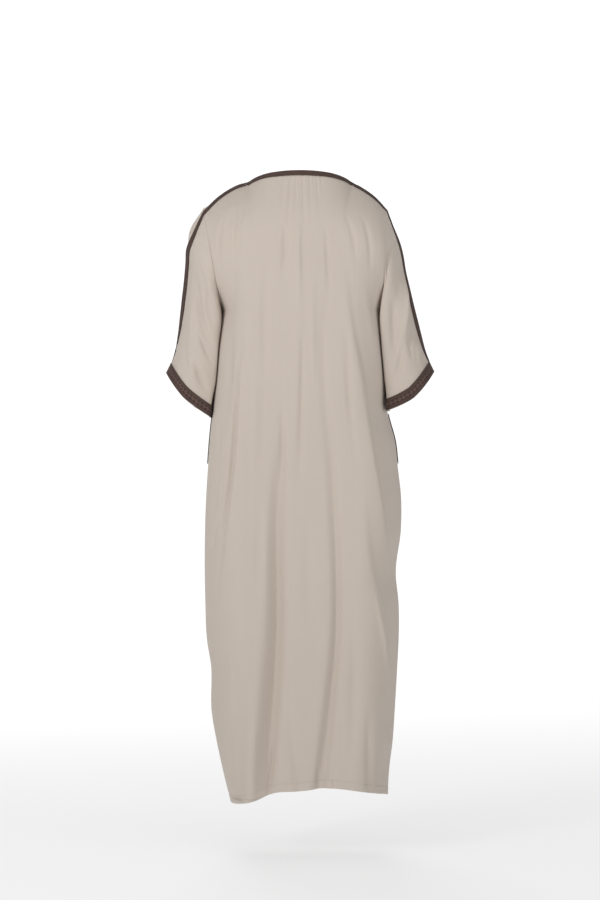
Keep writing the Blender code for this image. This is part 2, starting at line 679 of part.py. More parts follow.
def even_steps(points, steps):
    """Pick places at even distances along a line of points."""
    lengths = np.linalg.norm(np.diff(points, axis=0), axis=1)
    run = np.concatenate([[0], np.cumsum(lengths)])
    at = np.linspace(0, run[-1], steps + 1)
    return np.stack([np.interp(at, run, points[:, axis]) for axis in range(3)], axis=-1)


def neck_strip(tree):
    """A closed strip on the panels, just outside the neckline."""
    across = np.linspace(-NECK_SHARE, NECK_SHARE, 121)
    line = np.concatenate([top_edge(BACK, across), top_edge(FRONT, across[::-1])[1:]])
    path = even_steps(line, NECK_BRAID_STEPS)
    looped = np.concatenate([path[-2:-1], path, path[1:2]])
    along = unit(looped[2:] - looped[:-2])
    away = unit((path - path.mean(axis=0)) * (1, 1, 0))
    facing = np.array([tree.find_nearest(point + 0.008 * out)[1] for point, out in zip(path, away)])
    for _ in range(2):
        looped = np.concatenate([facing[-2:-1], facing, facing[1:2]])
        facing = unit(looped[:-2] + looped[1:-1] + looped[2:])
    outwards = unit(np.cross(along, facing))
    outwards = outwards * np.sign((outwards * away).sum())
    widths = BRAID_FROM_EDGE + NECK_BRAID * np.array([0.0, 0.5, 1.0])
    return path[:, None] + outwards[:, None] * widths[None, :, None]


def shoulder_strip(hand):
    """A strip down the shoulder seam and the sleeve's top seam, to just above the cuff."""
    across = np.linspace(NECK_SHARE, 1.0, 81)
    line = top_edge(BACK, hand * across)
    run = np.concatenate([[0], np.cumsum(np.linalg.norm(np.diff(line, axis=0), axis=1))])
    columns = []
    for side, width in ((BACK, 0.03), (BACK, 0.5), (BACK, 1.0)):
        start = BRAID_FROM_EDGE + NECK_BRAID + BRAID_APART
        start = start - BRAID_START_SLANT * width * SHOULDER_BRAID
        at = np.linspace(start, run[-1], SHOULDER_BRAID_STEPS + 1)
        places = hand * np.interp(at, run, across)
        step = 0.02
        rate = panel_on_seams(side, places, step) - panel_on_seams(side, places, 0.0)
        fall = width * SHOULDER_BRAID * step / np.linalg.norm(rate, axis=-1)
        on_shoulder = panel_surface(side, places, fall)

        share = np.linspace(0, 1, SLEEVE_BRAID_STEPS + 1)[1:]
        rate = sleeve_form(hand, side * step, share) - sleeve_form(hand, 0.0 * share, share)
        turn = side * width * SHOULDER_BRAID * step / np.linalg.norm(rate, axis=-1)
        end = cuff_place(hand, turn[-1:], CUFF_BRAID + BRAID_APART + BRAID_FROM_EDGE)
        on_sleeve = sleeve_surface(hand, turn, share * end)
        columns.append(np.concatenate([on_shoulder, on_sleeve]))
    return np.stack(columns, axis=1)


def cuff_place(hand, turn, width):
    """How far along the sleeve a line lies that runs at one width above its cuff."""
    step = 0.05
    rate = sleeve_form(hand, turn, 1.0 + 0 * turn) - sleeve_form(hand, turn, 1.0 - step + 0 * turn)
    return 1.0 - width * step / np.linalg.norm(rate, axis=-1)


def cuff_strip(hand):
    """A closed strip round the cuff."""
    turns = sleeve_turns()
    turn = np.sort(np.concatenate([turns, (turns[1:] + turns[:-1]) / 2]))
    widths = BRAID_FROM_EDGE + CUFF_BRAID * np.array([0.0, 0.5, 1.0])
    return np.stack([sleeve_surface(hand, turn, cuff_place(hand, turn, width))
                     for width in widths], axis=1)


def pocket_strip(hand):
    """A closed strip round the pocket slit in a side seam."""
    height = POCKET_FOOT - POCKET_TOP
    leg = POCKET_BRAID_STEPS // 2 - 4
    grid = []
    for width in (BRAID_FROM_EDGE, BRAID_FROM_EDGE + POCKET_BRAID):
        beside, below = [], []
        for out, way in ((width, 1), (-width, -1)):
            beside += [out] * leg
            below += list(way * height * (np.arange(leg) / leg - 0.5))
            bend = np.arange(4) / 4 * math.pi
            beside += list(out * np.cos(bend))
            below += list(way * (height / 2 + width * np.sin(bend)))
        beside = np.array(beside + beside[:1])
        down = (POCKET_TOP + POCKET_FOOT) / 2 + np.array(below + below[:1])
        hem = read(BACK_HEM, "down", hand)
        fall = 2 + (down - UNDERARM) / (hem - UNDERARM)
        step = 0.02
        points = []
        for side, there in ((BACK, beside >= 0), (FRONT, beside < 0)):
            rate = panel_on_seams(side, hand * (1 - step), fall) - panel_on_seams(side, hand, fall)
            across = hand * (1 - np.abs(beside) * step / np.linalg.norm(rate, axis=-1))
            points.append(panel_surface(side, across, fall) * there[:, None])
        grid.append(points[0] + points[1])
    return np.stack(grid, axis=1)


def build():
    """Make every piece of the robe."""
    for thing in list(bpy.data.objects):
        bpy.data.objects.remove(thing)
    parent = bpy.data.objects.new("robe", None)
    bpy.context.collection.objects.link(parent)
    cloth = material("cloth", (0.56, 0.49, 0.43), 0.85)
    braid = material("braid", (0.075, 0.045, 0.038), 0.8)
    tree = surface_tree(make_cloth(cloth, parent))
    lay_braid("neck_braid", neck_strip(tree), tree, braid, parent, ring=True)
    for hand, name in ((LEFT, "left"), (RIGHT, "right")):
        lay_braid("shoulder_braid_" + name, shoulder_strip(hand), tree, braid, parent, ring=False)
        lay_braid("cuff_braid_" + name, cuff_strip(hand), tree, braid, parent, ring=True)
        lay_braid("pocket_braid_" + name, pocket_strip(hand), tree, braid, parent, ring=True)


build()
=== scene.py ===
"""A wide short-sleeved robe hanging as worn, in woven cloth with plaited braid and stitching.

Metres, +Z up. The front faces -Y and the robe's own left is +X. The origin is midway between
the neckline's two shoulder points, where the robe hangs.

A sleeve is read at (turn, along): turn is 0 on its top seam, 2 at the underarm seam over the
back and -2 over the front, and along runs from 0 at the armhole to 1 at the cuff. A panel is
read at (across, fall): across runs from -1 at the right side seam to 1 at the left one, and
fall from 0 on the neckline and shoulder seam, past 1 where the shoulder has rounded into the
body and 2 at the underarm, to 3 at the hem.
"""

import math
from collections import namedtuple

import bmesh
import bpy
import numpy as np
from mathutils import Matrix, Vector
from mathutils.bvhtree import BVHTree


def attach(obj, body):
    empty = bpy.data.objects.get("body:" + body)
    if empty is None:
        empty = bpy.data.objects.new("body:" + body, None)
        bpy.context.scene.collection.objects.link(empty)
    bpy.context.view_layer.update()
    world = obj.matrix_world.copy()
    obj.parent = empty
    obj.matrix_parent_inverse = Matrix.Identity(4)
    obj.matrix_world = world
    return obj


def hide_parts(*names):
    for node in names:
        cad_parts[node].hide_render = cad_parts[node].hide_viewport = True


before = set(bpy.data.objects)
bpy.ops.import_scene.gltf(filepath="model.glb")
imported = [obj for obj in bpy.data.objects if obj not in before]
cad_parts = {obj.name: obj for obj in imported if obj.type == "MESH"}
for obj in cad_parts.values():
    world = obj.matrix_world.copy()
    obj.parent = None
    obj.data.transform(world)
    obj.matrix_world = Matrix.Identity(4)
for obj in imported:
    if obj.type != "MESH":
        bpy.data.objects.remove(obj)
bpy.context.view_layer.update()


# Cloth
# A smooth, fine, plain-woven suiting in warm beige. Slightly uneven warp threads leave faint
# upright streaks, and the nap gives it a soft sheen.

class Reading:
    """A shader value that takes part in Python arithmetic."""

    def __init__(self, finish, socket):
        self.finish = finish
        self.socket = socket

    def maths(self, operation, *values):
        return self.finish.node("Math", {"operation": operation}, dict(enumerate(values)))

    def sine(self):
        return self.maths("SINE", self)

    def __add__(self, other):
        return self.maths("ADD", self, other)

    def __sub__(self, other):
        return self.maths("SUBTRACT", self, other)

    def __rsub__(self, other):
        return self.maths("SUBTRACT", other, self)

    def __mul__(self, other):
        return self.maths("MULTIPLY", self, other)

    __radd__ = __add__
    __rmul__ = __mul__


class Finish:
    """One material, put together node by node."""

    def __init__(self, name, constants):
        self.material = bpy.data.materials.new(name)
        self.material.use_nodes = True
        self.nodes = self.material.node_tree.nodes
        self.shader = self.nodes["Principled BSDF"]
        for socket, value in constants.items():
            self.shader.inputs[socket].default_value = value

    def join(self, value, socket):
        self.material.node_tree.links.new(value.socket, socket)

    def node(self, kind, settings, inputs, output=0):
        """Add a node, set it up, feed its sockets, and give back one of its outputs."""
        made = self.nodes.new("ShaderNode" + kind)
        for setting, value in settings.items():
            setattr(made, setting, value)
        for socket, value in inputs.items():
            if isinstance(value, Reading):
                self.join(value, made.inputs[socket])
            else:
                made.inputs[socket].default_value = value
        return Reading(self, made.outputs[output])

    def mix(self, share, first, second):
        """Blend two colours."""
        return self.node("Mix", {"data_type": "RGBA"}, {0: share, 6: first, 7: second}, output=2)

    def paint(self, colour, roughness, height, strength, distance):
        """Feed the surface's colour, roughness and bump."""
        bump = self.node("Bump", {}, {"Height": height, "Strength": strength, "Distance": distance})
        self.join(colour, self.shader.inputs["Base Color"])
        self.join(roughness, self.shader.inputs["Roughness"])
        self.join(bump, self.shader.inputs["Normal"])


THREAD_PITCH = 0.0009
STREAK_WIDTH = 0.004
STREAK_LENGTH = 0.30
CLOTH_LIGHT = (0.585, 0.515, 0.450, 1.0)
CLOTH_DARK = (0.525, 0.455, 0.395, 1.0)

cloth = Finish("woven_cloth", {"Sheen Weight": 0.15, "Sheen Roughness": 0.45,
                               "Specular IOR Level": 0.25})
place = cloth.node("UVMap", {"uv_map": "cut"}, {})
along_weft = cloth.node("SeparateXYZ", {}, {"Vector": place}, output=0)
along_warp = cloth.node("SeparateXYZ", {}, {"Vector": place}, output=1)
turns = 2 * math.pi / THREAD_PITCH
weave = (along_weft * turns).sine() * (along_warp * turns).sine()
stretched = cloth.node("Mapping", {}, {
    "Vector": place, "Scale": (1 / STREAK_WIDTH, 1 / STREAK_LENGTH, 1.0)})
streaks = cloth.node("TexNoise", {}, {"Vector": stretched, "Scale": 1.0, "Detail": 3.0})
spots = cloth.node("TexCoord", {}, {}, output=3)
patches = cloth.node("TexNoise", {}, {"Vector": spots, "Scale": 5.0, "Detail": 2.0})
threads = cloth.node("TexNoise", {}, {"Vector": place, "Scale": 1 / THREAD_PITCH, "Detail": 2.0})
shade = streaks * 0.45 + patches * 0.35 + threads * 0.20
cloth.paint(cloth.mix(shade, CLOTH_DARK, CLOTH_LIGHT), 0.74 + streaks * 0.12,
            weave * 0.5 + streaks * 0.8 + threads * 0.3, 0.35, 0.0003)


# Sleeves
# Each is one piece of the cloth, closed by an underarm seam, sewn into its armhole and turned
# up inside at the cuff. It hangs wide, sinks a little at the cuff, and lies against the body.

LEFT, RIGHT = 1, -1
BACK, FRONT = 1, -1
UNDERARM = 0.30
UNDERARM_X = {LEFT: 0.180, RIGHT: 0.1885}
FLAT_WIDTH = 0.58
CUFF_SINK = 0.024
FOLD_STRENGTH = 2.0
FRONT_FOLD_SHARE = 0.7
FOLD_START = 0.15
SEAM_CALM = 0.3
ARMHOLE_CALM = 0.15

# The sleeve has left its armhole after AWAY_BY of its length. Past PRESS_TURN on its way round,
# or a little sooner lower down, it is pressed against the body. There it keeps just clear of the
# cloth and gives the cuff's braid room, and SLEEVE_BEND rounds the bend where the two meet.
AWAY_BY = 0.25
PRESS_TURN = 1.05
PRESS_SOONER = 0.15
SOONER_FROM = 0.2
SOONER_OVER = 0.4
PRESS_SPREAD = 0.45
SLEEVE_CLEAR = 0.0012
CUFF_ROOM = 0.0040
CUFF_ROOM_FROM = 0.70
CUFF_ROOM_OVER = 0.2
SLEEVE_BEND = 0.0015

# The braid stiffens the sleeve's top seam into a ridge, this high and this far round. It rises
# from RIDGE_FROM over RIDGE_RISE, and sinks again over RIDGE_SINK before the cuff.
RIDGE = 0.008
RIDGE_TURN = 1 / 6
RIDGE_FROM = 0.1
RIDGE_RISE = 0.25
RIDGE_SINK = 0.3

Depth = namedtuple("Depth", "down back front")
DEPTHS = (
    Depth(-0.03, 0.100, 0.085),
    Depth(0.00, 0.105, 0.095),
    Depth(0.10, 0.122, 0.108),
    Depth(0.20, 0.130, 0.118),
    Depth(0.30, 0.134, 0.122),
    Depth(0.45, 0.138, 0.125),
    Depth(0.60, 0.142, 0.128),
    Depth(0.80, 0.149, 0.134),
    Depth(1.00, 0.154, 0.140),
    Depth(1.20, 0.158, 0.148),
    Depth(1.43, 0.163, 0.156),
)

# Each side of the body below the underarm: its widest reach, and how far back the seam lies
Side = namedtuple("Side", "down reach seam_y")
LEFT_SIDE = (
    Side(0.300, UNDERARM_X[LEFT], 0.000),
    Side(0.384, 0.1910, 0.006),
    Side(0.451, 0.1940, 0.014),
    Side(0.536, 0.2010, 0.030),
    Side(0.600, 0.2070, 0.042),
    Side(0.658, 0.2110, 0.046),
    Side(0.736, 0.2160, 0.040),
    Side(0.805, 0.2185, 0.030),
    Side(0.906, 0.2196, 0.016),
    Side(0.971, 0.2185, 0.008),
    Side(1.067, 0.2139, 0.002),
    Side(1.110, 0.2065, 0.000),
    Side(1.228, 0.2036, 0.000),
    Side(1.293, 0.1920, 0.000),
    Side(1.357, 0.1780, 0.000),
    Side(1.430, 0.1600, 0.000),
)
RIGHT_SIDE = (
    Side(0.300, UNDERARM_X[RIGHT], 0.000),
    Side(0.384, 0.1940, 0.000),
    Side(0.451, 0.1980, -0.004),
    Side(0.536, 0.2030, -0.012),
    Side(0.600, 0.2200, -0.018),
    Side(0.658, 0.2266, -0.020),
    Side(0.736, 0.2346, -0.015),
    Side(0.805, 0.2335, -0.008),
    Side(0.906, 0.2215, -0.003),
    Side(0.971, 0.2277, 0.000),
    Side(1.067, 0.2277, 0.000),
    Side(1.110, 0.2254, 0.000),
    Side(1.228, 0.2185, 0.000),
    Side(1.293, 0.2139, 0.000),
    Side(1.357, 0.2060, 0.000),
    Side(1.430, 0.2020, 0.000),
)
SIDES = {LEFT: LEFT_SIDE, RIGHT: RIGHT_SIDE}

# Sleeve rings: top and underarm points, half depths, middle, and the top seam's angle
Ring = namedtuple("Ring", "along top_x top_z low_x low_z back front middle seam")
LEFT_SLEEVE = (
    Ring(0.00, 0.223, -0.062, UNDERARM_X[LEFT], -UNDERARM, 0.088, 0.088, 0.000, 25),
    Ring(0.20, 0.256, -0.118, 0.175, -0.341, 0.087, 0.095, 0.000, 35),
    Ring(0.40, 0.256, -0.185, 0.184, -0.388, 0.077, 0.086, -0.002, 16),
    Ring(0.60, 0.263, -0.262, 0.187, -0.436, 0.070, 0.078, -0.005, 10),
    Ring(0.80, 0.275, -0.350, 0.188, -0.488, 0.070, 0.076, -0.009, -6),
    Ring(0.93, 0.294, -0.412, 0.189, -0.526, 0.073, 0.078, -0.012, -18),
    Ring(1.00, 0.309, -0.444, 0.189, -0.546, 0.075, 0.080, -0.014, -20),
)
RIGHT_SLEEVE = (
    Ring(0.00, 0.200, -0.068, UNDERARM_X[RIGHT], -UNDERARM, 0.088, 0.088, 0.000, 8),
    Ring(0.20, 0.222, -0.131, 0.178, -0.340, 0.086, 0.088, 0.000, 5),
    Ring(0.40, 0.237, -0.205, 0.187, -0.384, 0.076, 0.082, -0.002, -14),
    Ring(0.60, 0.252, -0.278, 0.190, -0.428, 0.072, 0.078, -0.005, 2),
    Ring(0.80, 0.273, -0.352, 0.191, -0.476, 0.072, 0.076, -0.009, 8),
    Ring(0.93, 0.293, -0.407, 0.192, -0.512, 0.074, 0.078, -0.012, 2),
    Ring(1.00, 0.310, -0.441, 0.192, -0.531, 0.076, 0.080, -0.014, -4),
)
SLEEVES = {LEFT: LEFT_SLEEVE, RIGHT: RIGHT_SLEEVE}

# Folds, which all start flat: half widths at both ends, depths at the middle and the end, and a
# path of (x, distance down). A valley sinks, a ridge rises, and a step lifts its left side.
Fold = namedtuple("Fold", "kind widths depths path")
SLEEVE_FOLDS = {
    LEFT: (
        Fold("valley", (0.008, 0.010), (0.005, 0.0),
             ((0.243, 0.190), (0.228, 0.320), (0.200, 0.405))),
        Fold("valley", (0.008, 0.009), (0.004, 0.0),
             ((0.228, 0.190), (0.204, 0.320), (0.196, 0.350))),
        Fold("valley", (0.009, 0.009), (0.004, 0.0),
             ((0.246, 0.405), (0.230, 0.450), (0.214, 0.495))),
        Fold("valley", (0.005, 0.006), (0.0026, 0.0),
             ((0.236, 0.345), (0.220, 0.385), (0.200, 0.430))),
        Fold("valley", (0.005, 0.006), (0.0018, 0.0),
             ((0.236, 0.170), (0.230, 0.215), (0.222, 0.270))),
        Fold("ridge", (0.005, 0.006), (0.0016, 0.0),
             ((0.252, 0.270), (0.250, 0.330), (0.252, 0.400))),
        Fold("valley", (0.004, 0.005), (0.0016, 0.0),
             ((0.268, 0.380), (0.262, 0.410), (0.254, 0.450))),
    ),
    RIGHT: (
        Fold("ridge", (0.008, 0.010), (0.005, 0.0),
             ((-0.234, 0.200), (-0.238, 0.290), (-0.240, 0.380))),
        Fold("valley", (0.009, 0.009), (0.005, 0.0),
             ((-0.212, 0.130), (-0.198, 0.180), (-0.190, 0.260))),
        Fold("valley", (0.009, 0.010), (0.004, 0.0),
             ((-0.214, 0.260), (-0.216, 0.340), (-0.222, 0.430))),
        Fold("ridge", (0.003, 0.004), (0.0024, 0.0),
             ((-0.236, 0.205), (-0.238, 0.280), (-0.238, 0.370))),
        Fold("valley", (0.006, 0.006), (0.0026, 0.0),
             ((-0.238, 0.370), (-0.228, 0.425), (-0.212, 0.480))),
        Fold("valley", (0.005, 0.005), (0.0018, 0.0),
             ((-0.256, 0.330), (-0.252, 0.370), (-0.258, 0.420))),
        Fold("ridge", (0.004, 0.005), (0.0016, 0.0),
             ((-0.270, 0.360), (-0.272, 0.390), (-0.276, 0.430))),
    ),
}


def curve(places, values, at):
    """Read a smooth curve through the given values at other places."""
    places = np.asarray(places, float)
    values = np.asarray(values, float)
    slopes = np.gradient(values, places, axis=0)
    at = np.clip(at, places[0], places[-1])
    left = np.clip(np.searchsorted(places, at, side="right") - 1, 0, len(places) - 2)
    span = places[left + 1] - places[left]
    t = (at - places[left]) / span
    if values.ndim > 1:
        more = (slice(None),) + (None,) * (values.ndim - 1)
        t, span = t[more], span[more]
    rise = values[left] * (1 + 2 * t) * (1 - t) ** 2 + values[left + 1] * t * t * (3 - 2 * t)
    lean = slopes[left] * t * (1 - t) ** 2 - slopes[left + 1] * t * t * (1 - t)
    return rise + lean * span


def read(table, name, at):
    """Read one named column of a table at places given in its first column."""
    return curve([row[0] for row in table], [getattr(row, name) for row in table], at)


def ease(share):
    """Go softly from 0 to 1."""
    share = np.clip(share, 0.0, 1.0)
    return share * share * (3 - 2 * share)


def unit(vectors):
    """Give each vector a length of 1."""
    return vectors / np.maximum(np.linalg.norm(vectors, axis=-1, keepdims=True), 1e-12)


def fold_depth(folds, x, down):
    """How far folds move a point outwards, from its place across and its distance down."""
    lift = np.zeros(np.broadcast(x, down).shape)
    for fold in folds:
        path_x = [point[0] for point in fold.path]
        path_down = [point[1] for point in fold.path]
        share = (down - path_down[0]) / (path_down[-1] - path_down[0])
        width = fold.widths[0] + (fold.widths[1] - fold.widths[0]) * np.clip(share, 0, 1)
        depth = curve((0.0, 0.5, 1.0), (0.0,) + fold.depths, share) * ease(share / FOLD_START)
        depth = np.where((share < 0) | (share > 1), 0.0, depth)
        offset = (x - curve(path_down, path_x, down)) / width
        if fold.kind == "step":
            lift = lift + depth * offset / (1 + offset * offset)
        else:
            sign = 1.0 if fold.kind == "ridge" else -1.0
            lift = lift + sign * depth * np.exp(-offset * offset)
    return lift


def body_side(hand, y, down):
    """How far out the side of the body reaches, at a place from front to back."""
    table = SIDES[hand]
    seam_y = read(table, "seam_y", down)
    depth = np.where(y >= seam_y, read(DEPTHS, "back", down) - seam_y,
                     read(DEPTHS, "front", down) + seam_y)
    rounding = 1 - np.clip(np.abs(y - seam_y) / depth, 0, 1) ** 2
    return read(table, "reach", down) * (FLAT_WIDTH + (1 - FLAT_WIDTH) * np.sqrt(rounding))


def sleeve_form(hand, turn, along):
    """The sleeve's smooth form, without folds."""
    table = SLEEVES[hand]
    seam = np.radians(read(table, "seam", along))
    angle = seam + np.where(turn >= 0, math.pi - seam, math.pi + seam) * turn / 2
    top_x, top_z = read(table, "top_x", along), read(table, "top_z", along)
    low_x, low_z = read(table, "low_x", along), read(table, "low_z", along)
    depth = np.where(np.sin(angle) >= 0, read(table, "back", along), read(table, "front", along))
    sink = CUFF_SINK * along ** 2 * np.sin(angle) ** 2
    x = (top_x + low_x) / 2 + (top_x - low_x) / 2 * np.cos(angle)
    y = read(table, "middle", along) + depth * np.sin(angle)
    z = (top_z + low_z) / 2 + (top_z - low_z) / 2 * np.cos(angle) - sink
    away = ease(along / AWAY_BY)
    sooner = PRESS_SOONER * ease((along - SOONER_FROM) / SOONER_OVER)
    flush = away * ease((np.abs(turn) - PRESS_TURN + sooner) / PRESS_SPREAD)
    z = z + (low_z - z) * flush
    room = CUFF_ROOM * ease((along - CUFF_ROOM_FROM) / CUFF_ROOM_OVER)
    wall = body_side(hand, y, -z) + SLEEVE_CLEAR * away + room
    ridge = RIDGE * ease((along - RIDGE_FROM) / RIDGE_RISE) * ease((1 - along) / RIDGE_SINK)
    x = x + ridge * np.clip(1 - np.abs(turn) / RIDGE_TURN, 0, 1)
    x = x - np.maximum(x - wall, 0) * flush
    x = (x + wall + np.sqrt((x - wall) ** 2 + (SLEEVE_BEND * away) ** 2)) / 2
    return np.stack(np.broadcast_arrays(hand * x, y, z), axis=-1)


def sleeve_surface(hand, turn, along):
    """The sleeve's outer surface with its folds."""
    turn, along = np.broadcast_arrays(np.asarray(turn, float), np.asarray(along, float))
    point = sleeve_form(hand, turn, along)
    step = 0.01
    over = sleeve_form(hand, turn + step, along) - sleeve_form(hand, turn - step, along)
    out = sleeve_form(hand, turn, along + step) - sleeve_form(hand, turn, along - step)
    normal = -hand * unit(np.cross(over, out))
    lift = fold_depth(SLEEVE_FOLDS[hand], point[..., 0], -point[..., 2])
    size = np.abs(turn)
    lift = FOLD_STRENGTH * lift * ease(size / SEAM_CALM) * ease((2 - size) / SEAM_CALM)
    lift = lift * ease(along / ARMHOLE_CALM) * np.where(turn > 0, 1.0, FRONT_FOLD_SHARE)
    return point + lift[..., None] * normal


SEAM_GAP = 0.0002
CLOTH_THICK = 0.0010
TURNED_UNDER = 0.0022
EDGE_ROLL = 0.0002
SLEEVE_COLUMNS = 148
SLEEVE_ROWS = 88
CUFF_TURN_ROWS = 6
SEAM_TURN = 3


def directions(grid, sign, ring=False):
    """Outward directions of a grid of points."""
    if ring:
        grid = np.concatenate([grid[:, -2:-1], grid, grid[:, 1:2]], axis=1)
    down, over = np.gradient(grid, axis=0), np.gradient(grid, axis=1)
    normals = sign * unit(np.cross(over, down))
    return normals[:, 1:-1] if ring else normals


def cut_places(grid):
    """Each point's place on the flat cut: metres across and metres along."""
    over = np.linalg.norm(np.diff(grid, axis=1), axis=-1)
    down = np.linalg.norm(np.diff(grid, axis=0), axis=-1)
    across = np.concatenate([np.zeros((len(grid), 1)), np.cumsum(over, axis=1)], axis=1)
    across = across - across[:, across.shape[1] // 2:across.shape[1] // 2 + 1]
    along = np.concatenate([np.zeros((1, grid.shape[1])), np.cumsum(down, axis=0)], axis=0)
    return np.stack([across, along], axis=-1)


def turn_edge(layers, axis, at_start, count):
    """Turn an edge of the cloth under: a rolled edge, then a strip lying inside."""
    grid, inwards, cut = (np.moveaxis(layer, axis, 0) for layer in layers)
    if not at_start:
        grid, inwards, cut = grid[::-1], inwards[::-1], cut[::-1]
    away = unit(grid[0] - grid[1])
    rolled = grid[0] + inwards[0] * TURNED_UNDER / 2 + away * EDGE_ROLL
    under = grid[1:count + 1] + inwards[1:count + 1] * TURNED_UNDER
    grid = np.concatenate([under[::-1], rolled[None], grid])
    cut = np.concatenate([2 * cut[0] - cut[count:0:-1], cut[:1], cut])
    inwards = np.concatenate([inwards[count:0:-1], inwards[:1], inwards])
    if not at_start:
        grid, inwards, cut = grid[::-1], inwards[::-1], cut[::-1]
    return [np.moveaxis(layer, 0, axis) for layer in (grid, inwards, cut)]


def draw_back(edge, inside):
    """Move a sewn edge half a seam's gap into its own piece, square to the seam."""
    along = unit(np.gradient(edge, axis=0))
    pull = inside - edge
    pull = pull - (pull * along).sum(axis=-1, keepdims=True) * along
    return edge + unit(pull) * SEAM_GAP / 2


def object_of(name, mesh, finish):
    """Make a smooth object from a bmesh, in one finish."""
    data = bpy.data.meshes.new(name)
    mesh.to_mesh(data)
    mesh.free()
    data.shade_smooth()
    data.materials.append(finish.material)
    made = bpy.data.objects.new(name, data)
    bpy.context.scene.collection.objects.link(made)
    return made


def sheet_of(name, grid, cut, finish, flip, thick, ring=False, threads=None):
    """Make one sheet from a grid of points, with its cut as UV map, and give it a thickness."""
    rows, columns = grid.shape[:2]
    mesh = bmesh.new()
    bmesh.ops.create_grid(mesh, x_segments=columns - 1, y_segments=rows - 1, size=1.0)
    mesh.verts.ensure_lookup_table()
    points, places = grid.reshape(-1, 3), cut.reshape(-1, 2)
    layer = mesh.loops.layers.uv.new("cut")
    # threads, when given, is the braid's lightness: painted highlight on raised strands and cords, and
    # the lozenge chain's lighter thread.
    tone = mesh.verts.layers.float.new("thread") if threads is not None else None
    for index, vert in enumerate(mesh.verts):
        vert.co = points[index]
        if tone:
            vert[tone] = threads[index]
        for loop in vert.link_loops:
            loop[layer].uv = places[index]
    if ring:
        bmesh.ops.remove_doubles(mesh, verts=mesh.verts[:], dist=1e-6)
    if flip:
        bmesh.ops.reverse_faces(mesh, faces=mesh.faces[:])
    piece = object_of(name, mesh, finish)
    wall = piece.modifiers.new("wall", "SOLIDIFY")
    wall.thickness = thick
    wall.offset = -1.0
    wall.use_even_offset = False
    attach(piece, "root")
    return piece


skin = []
sleeve_turn = np.linspace(-2, 2, SLEEVE_COLUMNS + 1)
sleeve_along = np.linspace(0, 1, SLEEVE_ROWS + 1)
for hand, side_name in ((LEFT, "left"), (RIGHT, "right")):
    turn, along = np.meshgrid(sleeve_turn, sleeve_along)
    grid = sleeve_surface(hand, turn, along)
    skin.append((grid, hand == LEFT))
    inwards = -directions(grid, -hand, ring=True)
    grid = grid.copy()
    grid[0] = draw_back(grid[0], grid[1])
    layers = [grid, inwards, cut_places(grid)]
    layers = turn_edge(layers, 0, True, SEAM_TURN)
    layers = turn_edge(layers, 0, False, CUFF_TURN_ROWS)
    sheet_of("sleeve_cloth_" + side_name, layers[0], layers[2], cloth,
                             hand == LEFT, CLOTH_THICK, ring=True)
    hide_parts("sleeve_" + side_name)


# Back and front panels
# One piece of cloth each, from the shoulders to the hem, sewn together at the shoulder and side
# seams. The back is gathered in small tucks below the neckline, and both hems are turned up.

NECK_SHARE = 0.46
FLAT_SHARE = 0.50
CROWN = 0.015
SHOULDER_DROP = 0.125
SHOULDER_SLOPE = 0.6
NECK_DROP = {BACK: 0.120, FRONT: 0.090}
GATHER_TOP = 0.016
GATHER_START = 0.020
GATHER_STRETCH = 1.5

# Top edge of the panels: the neckline from its middle, then the shoulder seam
Top = namedtuple("Top", "across x y z")
NECKLINE = {
    BACK: (
        Top(0.00, 0.000, 0.078, 0.018),
        Top(0.15, 0.045, 0.073, 0.016),
        Top(0.30, 0.083, 0.056, 0.010),
        Top(0.40, 0.106, 0.034, 0.002),
    ),
    FRONT: (
        Top(0.00, 0.000, -0.098, -0.088),
        Top(0.15, 0.045, -0.090, -0.079),
        Top(0.30, 0.085, -0.060, -0.052),
        Top(0.40, 0.108, -0.020, -0.018),
    ),
}
SHOULDER = {
    LEFT: (
        Top(0.46, 0.117, 0.017, -0.004),
        Top(0.60, 0.145, 0.022, -0.013),
        Top(0.80, 0.186, 0.032, -0.039),
    ),
    RIGHT: (
        Top(0.46, 0.117, 0.017, -0.004),
        Top(0.60, 0.141, 0.018, -0.017),
        Top(0.80, 0.172, 0.016, -0.039),
    ),
}

# Hem height across the panels
Hem = namedtuple("Hem", "across down")
BACK_HEM = (
    Hem(-1.00, 1.416),
    Hem(-0.70, 1.398),
    Hem(-0.50, 1.388),
    Hem(-0.25, 1.383),
    Hem(0.00, 1.389),
    Hem(0.30, 1.394),
    Hem(0.50, 1.410),
    Hem(0.75, 1.424),
    Hem(1.00, 1.432),
)
FRONT_HEM = (
    Hem(-1.00, 1.416),
    Hem(-0.50, 1.404),
    Hem(0.00, 1.398),
    Hem(0.50, 1.408),
    Hem(1.00, 1.432),
)
HEMS = {BACK: BACK_HEM, FRONT: FRONT_HEM}

# Gathers below the back neckline: place, lean to the side, half width, depth and length
Gather = namedtuple("Gather", "x lean width depth length")
BACK_GATHERS = (
    Gather(0.0555, 0.10, 0.0026, 0.0012, 0.075),
    Gather(0.0475, 0.08, 0.0024, 0.0018, 0.050),
    Gather(0.0390, 0.05, 0.0030, 0.0024, 0.110),
    Gather(0.0300, 0.02, 0.0024, 0.0016, 0.060),
    Gather(0.0225, 0.04, 0.0028, 0.0026, 0.130),
    Gather(0.0150, 0.00, 0.0022, 0.0014, 0.045),
    Gather(0.0085, 0.02, 0.0026, 0.0022, 0.090),
    Gather(0.0010, 0.00, 0.0024, 0.0018, 0.070),
    Gather(-0.0060, -0.03, 0.0030, 0.0026, 0.120),
    Gather(-0.0150, 0.00, 0.0022, 0.0014, 0.050),
    Gather(-0.0215, -0.04, 0.0028, 0.0022, 0.100),
    Gather(-0.0300, -0.06, 0.0026, 0.0020, 0.065),
    Gather(-0.0375, -0.08, 0.0028, 0.0016, 0.110),
    Gather(-0.0470, -0.10, 0.0026, 0.0012, 0.055),
)

